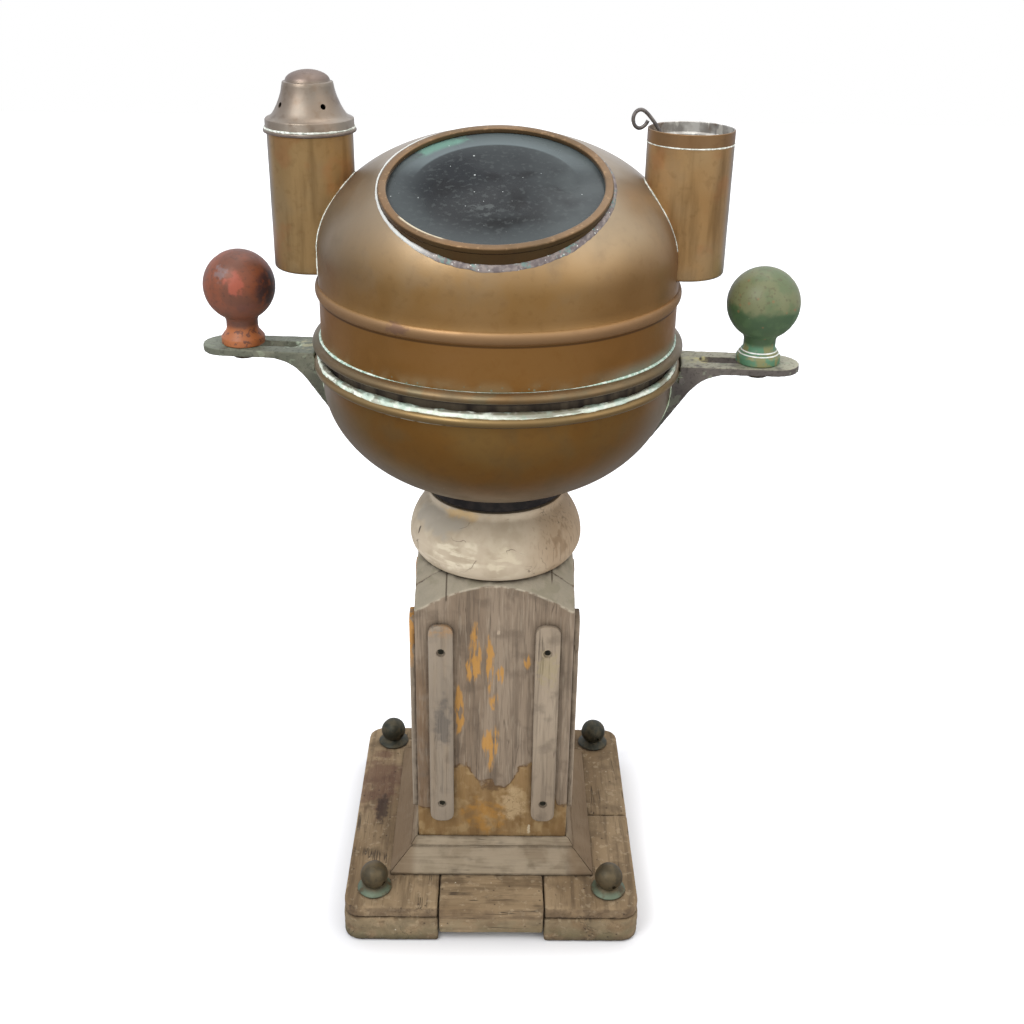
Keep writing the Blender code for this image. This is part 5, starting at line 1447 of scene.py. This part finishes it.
def hood_outline():
    inner = HOOD_RADIUS - HOOD_WALL
    spigot_inner = SPIGOT_RADIUS - HOOD_WALL
    swage = (SWAGE_PROUD, SWAGE_HALF)
    outline = [(spigot_inner, HOOD_BOTTOM_Z), (SPIGOT_RADIUS, HOOD_BOTTOM_Z),
               (SPIGOT_RADIUS, BAND_LOW_Z),
               (HOOD_RADIUS, BAND_LOW_Z), (HOOD_RADIUS, SWAGE_Z - SWAGE_HALF * 1.5)]
    outline += ellipse((HOOD_RADIUS, SWAGE_Z), swage, -80, 80, 16)
    outline += [(HOOD_RADIUS, SWAGE_Z + SWAGE_HALF * 1.5)]
    for step in range(1, 5):
        z = SWAGE_Z + SWAGE_HALF * 1.5
        outline.append((HOOD_RADIUS, z + (DOME_Z - z) * step / 5))
    outline += ellipse((0, DOME_Z), (HOOD_RADIUS, DOME_HEIGHT), 0, 90, 44)[:-1]
    outline += [(0, DOME_Z + DOME_HEIGHT), (0, DOME_Z + DOME_HEIGHT - HOOD_WALL)]
    outline += ellipse((0, DOME_Z), (inner, DOME_HEIGHT - HOOD_WALL), 90, 0, 44)[1:]
    outline += ellipse((inner, SWAGE_Z), swage, 80, -80, 12)
    outline.append((spigot_inner, BAND_LOW_Z + 0.003))
    return outline


def build_hood():
    """The domed hood, cut out for the lamp tubes and the window, and the flanged band at its foot."""
    mesh = lathe(hood_outline(), 224, HEAD)
    dent(mesh, Vector((0, 0, DOME_Z)), 0.0005, 0.075, 8)
    hood = to_object("hood_shell_fine", mesh)
    cutters = []
    for side in LAMP_CENTRE:
        seat = Matrix.Translation(LAMP_CENTRE[side])
        cutters.append(rod(TUBE_RADIUS + GAP, TUBE_BOTTOM_Z[side] - GAP, 0.95, 96, seat))
    cutters.append(rod(WINDOW_RADIUS + 0.0004, -0.06, 0.03, 160, WINDOW))
    carve(hood, cutters)
    finish_piece(hood, hood_brass(), "hood", ["hood_shell"])
    inner = HOOD_RADIUS + GAP
    band_z = (BAND_LOW_Z + BAND_HIGH_Z) / 2
    outline = ellipse((inner, band_z), (BAND_RADIUS - inner, (BAND_HIGH_Z - BAND_LOW_Z) / 2), -90,
                      90, 18)
    band = to_object("hood_rim_band_fine", dent(lathe(outline, 224, HEAD), ORIGIN, 0.0002, 0.04, 5))
    finish_piece(band, band_brass(), "hood", ["hood_rim_band"])


def dome_hit(place, direction):
    """How far along direction a line from place meets the dome's outside, all in world metres."""
    scale = Vector((1 / HOOD_RADIUS, 1 / HOOD_RADIUS, 1 / DOME_HEIGHT))
    start = Vector([a * b for a, b in zip(place - UP * DOME_Z, scale)])
    way = Vector([a * b for a, b in zip(direction, scale)])
    a = way.dot(way)
    b = 2 * start.dot(way)
    c = start.dot(start) - 1
    return (-b - math.sqrt(max(b * b - 4 * a * c, 0.0))) / (2 * a)


def dome_normal(place):
    offset = place - UP * DOME_Z
    return Vector((offset.x / HOOD_RADIUS ** 2, offset.y / HOOD_RADIUS ** 2,
                   offset.z / DOME_HEIGHT ** 2)).normalized()


def window_foot(turn, radius):
    """Where the window collar's side, at a turn and radius, meets the dome."""
    place = WINDOW @ Vector((radius * math.cos(turn), radius * math.sin(turn), 0.02))
    down = -(WINDOW.to_3x3() @ UP)
    return place + down * dome_hit(place, down)


def build_window():
    low = -0.034
    collar = [(WINDOW_RADIUS - COLLAR_WALL, -BEZEL_THICKNESS), (WINDOW_RADIUS - COLLAR_WALL, low),
              (WINDOW_RADIUS, low), (WINDOW_RADIUS, -BEZEL_THICKNESS)]
    item = to_object("window_collar_fine", lathe(collar, 192, WINDOW))
    reach = HOOD_WALL + 0.006
    dome = ellipse((0, DOME_Z), (HOOD_RADIUS - reach, DOME_HEIGHT - reach), 0, 90, 40)[:-1]
    dome = [(0, 0.70), (HOOD_RADIUS - reach, 0.70)] + dome + [(0, DOME_Z + DOME_HEIGHT - reach)]
    carve(item, [lathe(dome, 128, HEAD)])
    dark = window_collar_brass()
    finish_piece(item, dark, "hood", ["window_collar"])
    glass_top = -BEZEL_THICKNESS + 0.0005
    outer, clear = WINDOW_RADIUS + 0.0004, WINDOW_CLEAR
    foot, seat, lip = -BEZEL_THICKNESS + GAP, glass_top + GAP, outer - 0.0024
    section = [(outer, foot), (outer, 0), (clear, 0), (clear, seat), (lip, seat), (lip, foot)]
    mesh = dent(lathe(softened(section, 0.0014, 4), 224, WINDOW), WINDOW_PLACE, 0.0003, 0.030, 4)
    bezel = to_object("window_bezel_fine", mesh)
    finish_piece(bezel, bezel_brass(), "hood", ["window_bezel"])
    bezel.data.materials.append(dark)
    inverse = WINDOW.inverted()
    for face in bezel.data.polygons:
        spot = inverse @ face.center
        if spot.z < -BEZEL_SHEEN and spot.to_2d().length > WINDOW_RADIUS - MM:
            face.material_index = 1
    pane = rod(WINDOW_GLASS_RADIUS, glass_top - 0.003, glass_top, 160, WINDOW, 0.0004)
    finish_piece(to_object("window_glass_fine", pane), window_glass(), "hood",
                 ["window_glass"])
    build_window_solder()


def build_window_solder():
    """The uneven bead of solder round the foot of the window's collar."""
    sections = []
    steps = 480
    for step in range(steps):
        turn = FULL_TURN * step / steps
        place = window_foot(turn, WINDOW_RADIUS + 0.0016)
        up = dome_normal(place)
        inward = place - window_foot(turn, WINDOW_RADIUS)
        across = (inward - up * inward.dot(up)).normalized()
        lumps = 1 + 0.30 * roughness_at(place, 0.016, 3) + 0.20 * roughness_at(place, 0.004, 7)
        fullness = (0.26 + 0.30 * max(0.0, -math.sin(turn))
                    + 0.40 * max(0.0, math.cos(turn + math.pi / 4)))
        sections.append((place, across * 0.0040 * lumps * fullness, up * 0.0010 * lumps))
    item = to_object("window_solder_bead", sweep(sections, 12))
    finish_piece(item, solder(), "hood", crease=80)


# ---------------------------------------------------------------- lamps

def port_cutter(side, sign):
    """The lamp's light port towards the compass, for cutting."""
    wide, tall = PORT_SIZE
    inward = Matrix.Rotation(0 if sign < 0 else math.pi, 4, "Z")
    place = Matrix.Translation(LAMP_CENTRE[side]) @ HEAD @ inward
    return block((0.010, -wide / 2, PORT_Z - tall / 2), (0.060, wide / 2, PORT_Z + tall / 2), place)


def build_lamps():
    tubes = {
        "left": tube_brass("tube_brass_left", (170, 141, 98), (164, 131, 86), (146, 128, 98)),
        "right": tube_brass("tube_brass_right", (184, 155, 114), (178, 141, 94), (158, 135, 104),
                            0.6),
    }
    bodies = {"left": tubes["left"], "right": tin()}
    seam = deposit("tube_solder", (228, 230, 222), (182, 186, 176), (140, 148, 140), 0.3)
    burner_brass = plain_metal("burner_brass", (164, 126, 66), (134, 100, 54), 0.35)
    for side, sign in SIDES:
        place = Matrix.Translation(LAMP_CENTRE[side])
        build_tube(side, sign, place, tubes[side], seam)
        build_lamp_body(side, sign, place, bodies[side], tubes[side], seam)
        build_burner(side, place, burner_brass)
    build_cap(seam)
    build_loop()


def build_tube(side, sign, place, finish, seam):
    bottom = TUBE_BOTTOM_Z[side]
    inner = TUBE_RADIUS - LAMP_WALL
    outline = [(0, bottom), (TUBE_RADIUS - 0.0035, bottom)]
    outline += ellipse((TUBE_RADIUS - 0.0035, bottom + 0.0035), (0.0035, 0.0035), -75, 0, 5)
    for step in range(1, 12):
        outline.append((TUBE_RADIUS, bottom + 0.0035 + (TUBE_TOP_Z - bottom - 0.0035) * step / 12))
    outline += [(TUBE_RADIUS, TUBE_TOP_Z), (inner, TUBE_TOP_Z), (inner, bottom + LAMP_WALL),
                (0, bottom + LAMP_WALL)]
    mesh = dent(lathe(outline, 128, place), middle_of(f"lamp_tube_{side}"), 0.0003, 0.035, sign)
    item = to_object(f"lamp_tube_{side}_fine", mesh)
    carve(item, [port_cutter(side, sign)])
    finish_piece(item, finish, "hood", [f"lamp_tube_{side}"])
    build_tube_solder(side, sign, bottom, seam)


def build_tube_solder(side, sign, bottom, finish):
    """The white solder line where the tube meets the hood, up one side, over and down the other."""
    centre = LAMP_CENTRE[side]
    path = []
    steps = 150
    for step in range(steps + 1):
        turn = math.pi * 2 * step / steps
        outward = HEAD.to_3x3() @ Vector((math.cos(turn), math.sin(turn), 0))
        place = centre + outward * (TUBE_RADIUS + 0.0002)
        distance = place.to_2d().length
        if distance < HOOD_RADIUS:
            rise = DOME_HEIGHT * math.sqrt(1 - (distance / HOOD_RADIUS) ** 2)
            path.append((turn, place + UP * (DOME_Z + rise)))
    if sign > 0:
        path.sort(key=lambda item: item[0])
    else:
        path.sort(key=lambda item: (item[0] + math.pi) % FULL_TURN)
    places = [place for turn, place in path]
    for end in (0, -1):
        foot = places[end].copy()
        rise = foot.z - bottom
        legs = [Vector((foot.x, foot.y, bottom + rise * step / 30)) for step in range(30)]
        places = legs + places if end == 0 else places + legs[::-1]
    sections = []
    for index, point in enumerate(places):
        ahead = places[min(index + 1, len(places) - 1)] - places[max(index - 1, 0)]
        ahead.normalize()
        outward = Vector((point.x, point.y, 0)).normalized()
        across = ahead.cross(outward).normalized()
        lumps = 0.95 + 0.7 * roughness_at(point, 0.012, 2) + 0.4 * roughness_at(point, 0.003, 8)
        size = 0.00090 * max(0.30, lumps)
        sections.append((point, across * size * 1.25, outward * size))
    item = to_object(f"tube_solder_{side}", sweep(sections, 8, closed=False))
    finish_piece(item, finish, "hood", crease=80)


def build_lamp_body(side, sign, place, finish, skin, seam):
    """The lift-out lamp: inner can, rim above the tube and, on the right, its white seam."""
    outer = TUBE_RADIUS - LAMP_WALL - 0.0006
    inner = outer - LAMP_WALL
    low = TUBE_BOTTOM_Z[side] + LAMP_WALL + GAP
    seat = TUBE_TOP_Z + GAP
    rim_inner = TUBE_RADIUS - LAMP_WALL
    rim = [(TUBE_RADIUS, seat), (TUBE_RADIUS, LAMP_RIM_Z - 0.0005),
           (TUBE_RADIUS - 0.0005, LAMP_RIM_Z),
           (rim_inner + 0.0004, LAMP_RIM_Z), (rim_inner, LAMP_RIM_Z - 0.0005)]
    can = [(0, low), (outer - 0.001, low), (outer, low + 0.001), (outer, seat)]
    can += rim + [(rim_inner, seat + 0.003), (inner, seat + 0.001), (inner, low + LAMP_WALL),
                  (0, low + LAMP_WALL)]
    mesh = dent(lathe(can, 128, place), middle_of(f"lamp_body_{side}"), 0.0002, 0.03, sign * 3)
    item = to_object(f"lamp_body_{side}_fine", mesh)
    carve(item, [port_cutter(side, sign)])
    finish_piece(item, finish, f"lamp_{side}",
                 [f"lamp_body_{side}"])
    if sign > 0:
        give_second_finish(item, skin, place, seat)
        bead_ring("lamp_seam_right", place, TUBE_RADIUS, seat, 0.0006, seam, "lamp_right")


def give_second_finish(item, skin, place, seat):
    """The lamp's rim shows brass outside and tin inside."""
    item.data.materials.append(skin)
    axis = place.translation
    for face in item.data.polygons:
        outward = (face.center - axis).to_2d()
        if face.center.z > seat and outward.length > TUBE_RADIUS - 0.0009:
            face.material_index = 1


def bead_ring(name, place, radius, height, thick, finish, body, seed=0.0):
    """An uneven thin bead round a lamp."""
    def size(turn, point):
        lumps = 1 + 0.45 * roughness_at(point, 0.010, seed) + 0.3 * roughness_at(point, 0.003)
        return (thick * max(0.5, lumps),) * 2
    level_ring(name, place.translation + UP * height, radius, 180, size, finish, body)


def build_burner(side, place, finish):
    """Oil fount with a wick tube."""
    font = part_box(f"burner_{side}")[0].z
    outline = [(0, 0), (0.0325, 0), (0.034, 0.0012), (0.034, 0.0235), (0.0325, 0.0262),
               (0.026, 0.0288),
               (0.0135, 0.0300), (0.0115, 0.0308), (0.0115, 0.0360), (0.0095, 0.0368),
               (0.0060, 0.0380),
               (0.0052, 0.0400), (0.0050, 0.0540), (0.0038, 0.0540), (0.0036, 0.0500), (0, 0.0500)]
    mesh = lathe([(radius, font + height) for radius, height in outline], 72, place)
    finish_piece(to_object(f"burner_{side}_fine", mesh), finish, f"lamp_{side}",
                 [f"burner_{side}"])


def cap_outline():
    """The lamp cap's section: bead, skirt, flared cone and domed button."""
    low = TUBE_TOP_Z + 0.0006
    seat = LAMP_RIM_Z + GAP
    inner = TUBE_RADIUS + GAP
    bead = reach_of("lamp_cap_left", centre=LAMP_CENTRE["left"])
    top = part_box("lamp_cap_left")[1].z
    cone = [(0.0430, seat + 0.0004), (0.0403, seat + 0.0012), (0.0372, seat + 0.0038),
            (0.0344, 0.9178),
            (0.0315, 0.9232), (0.0290, 0.9292), (0.0275, 0.9335), (0.0265, 0.9372),
            (0.0257, 0.9410),
            (0.0251, 0.9440)]
    outline = [(inner, low), (bead - 0.0014, low)] + ellipse((bead - 0.0014, low + 0.0018),
                                                             (0.0014, 0.0018),
                                                             -80, 80, 8)
    outline += [(0.0450, low + 0.0040), (0.0446, low + 0.0048), (0.0446, seat - 0.0012),
                (0.0441, seat - 0.0002)]
    outline += cone + [(0.0247, 0.9446), (0.0235, 0.9450), (0.0224, 0.9452)]
    outline += ellipse((0, 0.9450), (0.0222, top - 0.9450), 8, 88, 14) + [(0, top), (0, 0.9520)]
    outline += [(radius - 0.0014, height - 0.0008) for radius, height in reversed(cone[3:])]
    outline += [(0.0380, seat), (inner, seat)]
    return outline


def build_cap(seam):
    place = Matrix.Translation(LAMP_CENTRE["left"])
    mesh = dent(lathe(cap_outline(), 144, place), middle_of("lamp_cap_left"), 0.0003, 0.02, 4)
    item = to_object("lamp_cap_left_fine", mesh)
    holes = []
    for quarter in range(4):
        turn = Matrix.Rotation(math.radians(-55 + 90 * quarter), 4, "Z")
        tilt = Matrix.Rotation(math.radians(74), 4, "Y")
        seat = place @ Matrix.Translation((0, 0, VENT_AXIS_Z)) @ turn @ tilt
        holes.append(rod(VENT_RADIUS, 0.016, 0.045, 24, seat))
    carve(item, holes)
    finish_piece(item, cap_brass(), "lamp_cap", ["lamp_cap_left"])
    bead_ring("cap_seam_left", place, 0.0450, TUBE_TOP_Z + 0.0050, 0.0010, seam, "lamp_cap", 3)


def rounded(path, passes=3):
    """Cuts the corners of an open path until it is smooth."""
    for _ in range(passes):
        points = [path[0]]
        for start, end in zip(path, path[1:]):
            points += [start.lerp(end, 0.25), start.lerp(end, 0.75)]
        path = points + [path[-1]]
    return path


def build_loop():
    """The open right lamp's wire: a curl beside the rim with its tail inside."""
    hub = middle_of("lamp_loop_right") + Vector((-LOOP_STAND_OUT, 0, -LOOP_DROP))
    path = rounded([hub + Vector((across, 0, LOOP_FLATTENING * up)) * MM for across,
                    up in LOOP_RUN])
    grey = plain_metal("loop_wire", (84, 80, 80), (122, 116, 112), 0.5, 0.6)
    item = to_object("lamp_loop_right_fine", wire(path, LOOP_WIRE_RADIUS))
    finish_piece(item, grey, "lamp_right", ["lamp_loop_right"])


# ---------------------------------------------------------------- compass

def add_pins(item, place, axis, start, end):
    """Joins two opposite pins to a ring; the axis is the one that the pins' turn is made about."""
    turns = [Matrix.Rotation(sign * math.pi / 2, 4, axis) for sign in (-1, 1)]
    carve(item, [rod(PIN_RADIUS, start, end, 32, place @ turn, 0.0006) for turn in turns], "UNION")


def build_gimbals():
    brass = plain_metal("gimbal_brass", (186, 148, 84), (158, 122, 68), 0.32)
    place = HEAD @ Matrix.Translation((0, 0, GIMBAL_Z))
    for node in ("gimbal_bearing_front", "gimbal_bearing_back"):
        finish_piece(eased_copy(node, 0.0009, 4), brass, "head", [node], crease=45)
    section = softened([(0.126, -0.007), (0.132, -0.007), (0.132, 0.007), (0.126, 0.007)], 0.0012)
    item = to_object("gimbal_ring_fine", lathe(section, 144, place))
    sideways = Matrix.Rotation(math.pi / 2, 4, "Y")
    carve(item, [rod(PIN_HOLE_RADIUS, -0.2, 0.2, 32, place @ sideways)])
    add_pins(item, place, "X", 0.129, 0.150)
    finish_piece(item, brass, "gimbal", ["gimbal_ring"])
    build_compass_bowl(place, brass)


def build_compass_bowl(place, brass):
    outer, wall, top, knee, bottom = 0.092, 0.002, 0.020, -0.040, -0.074
    depth = knee - bottom
    outline = [(0, bottom)] + ellipse((0, knee), (outer, depth), -75, 0, 16)
    outline += [(outer, top), (outer - wall, top)]
    inside = ellipse((0, knee), (outer - wall, depth - wall), 0, -75, 16)
    outline += inside + [(0, inside[-1][1])]
    item = to_object("compass_bowl_fine", lathe(outline, 128, place))
    add_pins(item, place, "Y", outer - MM, 0.131)
    enamel = plain_metal("bowl_enamel", (196, 190, 172), (172, 164, 142), 0.4, 0.15)
    finish_piece(item, enamel, "compass", ["compass_bowl"])
    glass = to_object("compass_glass_fine", rod(outer, top + GAP, top + 0.0033, 128, place, 0.0004))
    finish_piece(glass, compass_glass(), "compass", ["compass_glass"])
    bezel = softened([(0.084, 0.0236), (0.0923, 0.0236), (0.0923, 0.014), (0.095, 0.014),
                      (0.095, 0.0266),
                      (0.084, 0.0266)], 0.0009)
    finish_piece(to_object("compass_bezel_fine", lathe(bezel, 144, place)), brass, "compass",
                 ["compass_bezel"])
    for node, shade, other in (("card_pivot", (186, 148, 84), (150, 116, 66)),
                               ("lubber_line", (20, 20, 22), (40, 38, 36))):
        kept = frame["nodes"][node].data.materials
        kept.clear()
        kept.append(plain_metal(f"{node}_metal", shade, other, 0.4, 0.4))
    build_card(place)


def build_card(place):
    """The card with plain degree ticks and an eight-pointed star."""
    z = -0.005
    section = [(0, z - 0.003), (0.003, z - 0.006), (0.0065, z - 0.006), (0.0065, z), (0.078, z),
               (0.078, z + 0.001), (0.0065, z + 0.001), (0.0045, z + 0.005), (0, z + 0.0055)]
    outline = softened(section, 0.0003)
    card = to_object("compass_card_fine", lathe(outline, 128, place))
    finish_piece(card, card_paper(), "card", ["compass_card"])
    mesh = bmesh.new()
    top = z + 0.00115
    for mark in range(72):
        length = 0.008 if mark % 6 == 0 else 0.005 if mark % 2 == 0 else 0.003
        add_mark(mesh, mark * 5, 0.0762 - length, 0.0762, 0.0007 if mark % 6 == 0 else 0.00035, top)
    for point in range(8):
        long_point = point % 2 == 0
        add_point(mesh, point * 45, 0.050 if long_point else 0.036, 0.0085 if long_point else 0.006,
                  top)
    mesh.transform(place)
    ink = plain_metal("card_ink", (34, 34, 40), (52, 48, 50), 0.7, 0.0)
    finish_piece(to_object("card_marks", mesh), ink, "card")
    steel = plain_metal("magnet_steel", (96, 98, 104), (74, 76, 82), 0.35)
    for node in ("card_magnet_left", "card_magnet_right"):
        finish_piece(eased_copy(node, 0.0006, 2), steel, "card", [node], crease=45)


def add_slab(mesh, corners, low, thick=0.00012):
    """A thin closed plate over flat corners."""
    bottom = [mesh.verts.new((x, y, low)) for x, y in corners]
    top = [mesh.verts.new((x, y, low + thick)) for x, y in corners]
    mesh.faces.new(bottom)
    mesh.faces.new(top)
    for index in range(len(corners)):
        after = (index + 1) % len(corners)
        mesh.faces.new((bottom[index], bottom[after], top[after], top[index]))


def turned_corners(corners, degrees):
    turn = Matrix.Rotation(math.radians(degrees), 2)
    return [tuple(turn @ Vector(corner)) for corner in corners]


def add_mark(mesh, degrees, start, end, half, low):
    add_slab(mesh, turned_corners([(start, -half), (end, -half), (end, half), (start, half)],
                                  degrees), low)


def add_point(mesh, degrees, length, half, low):
    """Half of a star point, so that each point has a dark and a light side."""
    add_slab(mesh, turned_corners([(0.0075, 0), (0.014, half), (length, 0)], degrees), low)


# ---------------------------------------------------------------- stage

def build_floor():
    """A plain pale floor that glows faintly to stay white, shaded by the piece, with a painted shadow
    where its glow fades out round the piece.
    """
    mesh = bmesh.new()
    bmesh.ops.create_grid(mesh, x_segments=8, y_segments=8, size=6)
    floor = to_object("floor_backdrop", mesh)
    f = Finish("floor", (231, 231, 233))
    f.put(f.shader.inputs["Emission Color"], (1, 1, 1, 1))
    # Painted shadow: the floor's glow is off under the piece and fades in round it.
    reach = f.most(f.away(f.along("X"), 0.0), f.away(f.along("Y"), 0.0))
    f.put(f.shader.inputs["Emission Strength"], f.step(reach, 0.170, 0.260, 0.0, 0.45))
    f.close(0.0, 0.0, roughness=0.9, specular=0.0)
    floor.data.materials.append(f.material)
    floor.location.z = -0.0004
    floor.visible_glossy = False
    floor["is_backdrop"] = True


def build_world():
    """White for the camera. What the object reflects is dimmer low down and at the sides."""
    world = bpy.data.worlds.new("studio")
    bpy.context.scene.world = world
    world.use_nodes = True
    n = Nodes(world.node_tree, "Generated")
    x, y, z = (n.along(axis) for axis in "XYZ")
    n.colour = rgb(140, 137, 137)
    n.paint((180, 174, 166), n.step(y, -0.25, -0.85))
    n.paint((146, 142, 136), n.step(z, -0.55, -0.85))
    n.lay((1.25, 1.24, 1.22, 1.0), n.step(z, -0.15, 0.55))
    n.lay((0.72, 0.78, 0.88, 1.0), n.step(x, -0.25, -0.75), n.step(z, -0.10, 0.30), 0.8)
    n.lay((1.00, 1.05, 1.16, 1.0), n.step(y, 0.10, 0.75), n.step(z, -0.6, 0.1), 0.8)
    path = world.node_tree.nodes.new("ShaderNodeLightPath")
    n.lay((1, 1, 1, 1), path.outputs["Is Camera Ray"])
    n.put(world.node_tree.nodes["Background"].inputs["Color"], n.colour)


def add_light(name, place, target, size, power, colour=(1, 1, 1)):
    data = bpy.data.lights.new(name, "AREA")
    data.shape = "DISK"
    data.size = size
    data.energy = power
    data.color = colour
    lamp = bpy.data.objects.new(name, data)
    bpy.context.scene.collection.objects.link(lamp)
    lamp.location = place
    lamp.rotation_euler = (Vector(place) - Vector(target)).to_track_quat("Z", "Y").to_euler()


def build_lights():
    add_light("key", (-1.3, -1.5, 2.6), (0, 0, 0.5), 1.3, 34)
    add_light("fill", (1.9, -1.2, 1.7), (0, 0, 0.5), 2.2, 8)
    add_light("top", (0.2, 0.6, 2.8), (0, 0, 0.6), 1.8, 14)


CAMERA_LENS = 43.646
CAMERA_DISTANCE = 1.2732
CAMERA_HEIGHT = 1.1062
CAMERA_AZIMUTH = math.radians(0.0223)
CAMERA_SWING = math.radians(-0.8194)
CAMERA_PITCH = math.radians(25.7495)
CAMERA_ROLL = math.radians(1.0230)
CAMERA_SHIFT = -0.0097


def build_camera():
    """The camera stands at the helmsman's side and looks down on the hood."""
    data = bpy.data.cameras.new("camera")
    data.lens = CAMERA_LENS
    data.sensor_width = 36
    data.shift_y = CAMERA_SHIFT
    camera = bpy.data.objects.new("camera", data)
    bpy.context.scene.collection.objects.link(camera)
    yaw = CAMERA_AZIMUTH + CAMERA_SWING
    forward = Vector((-math.sin(yaw) * math.cos(CAMERA_PITCH),
                      math.cos(yaw) * math.cos(CAMERA_PITCH),
                      -math.sin(CAMERA_PITCH)))
    right = Vector((math.cos(yaw), math.sin(yaw), 0))
    down = forward.cross(right)
    rolled = right * math.cos(CAMERA_ROLL) - down * math.sin(CAMERA_ROLL)
    rolled_down = right * math.sin(CAMERA_ROLL) + down * math.cos(CAMERA_ROLL)
    turn = Matrix((rolled, -rolled_down, -forward)).transposed()
    place = Vector((CAMERA_DISTANCE * math.sin(CAMERA_AZIMUTH),
                    -CAMERA_DISTANCE * math.cos(CAMERA_AZIMUTH),
                    CAMERA_HEIGHT))
    camera.matrix_world = Matrix.Translation(place) @ turn.to_4x4()
    bpy.context.scene.camera = camera
    bpy.context.scene.view_settings.view_transform = "Standard"


for build in (build_base, build_moulding, build_column, build_battens, build_collar, build_neck,
              build_deck_nuts, build_bowl, build_ledge_crust, build_brackets, build_balls,
              build_hood,
              build_band_line, build_window, build_lamps, build_gimbals, build_floor, build_world,
              build_lights, build_camera):
    build()

visual_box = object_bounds()
boxes = {"cad": cad_box, "visual": visual_box}
{name: [list(corner) for corner in box] for name, box in boxes.items()}
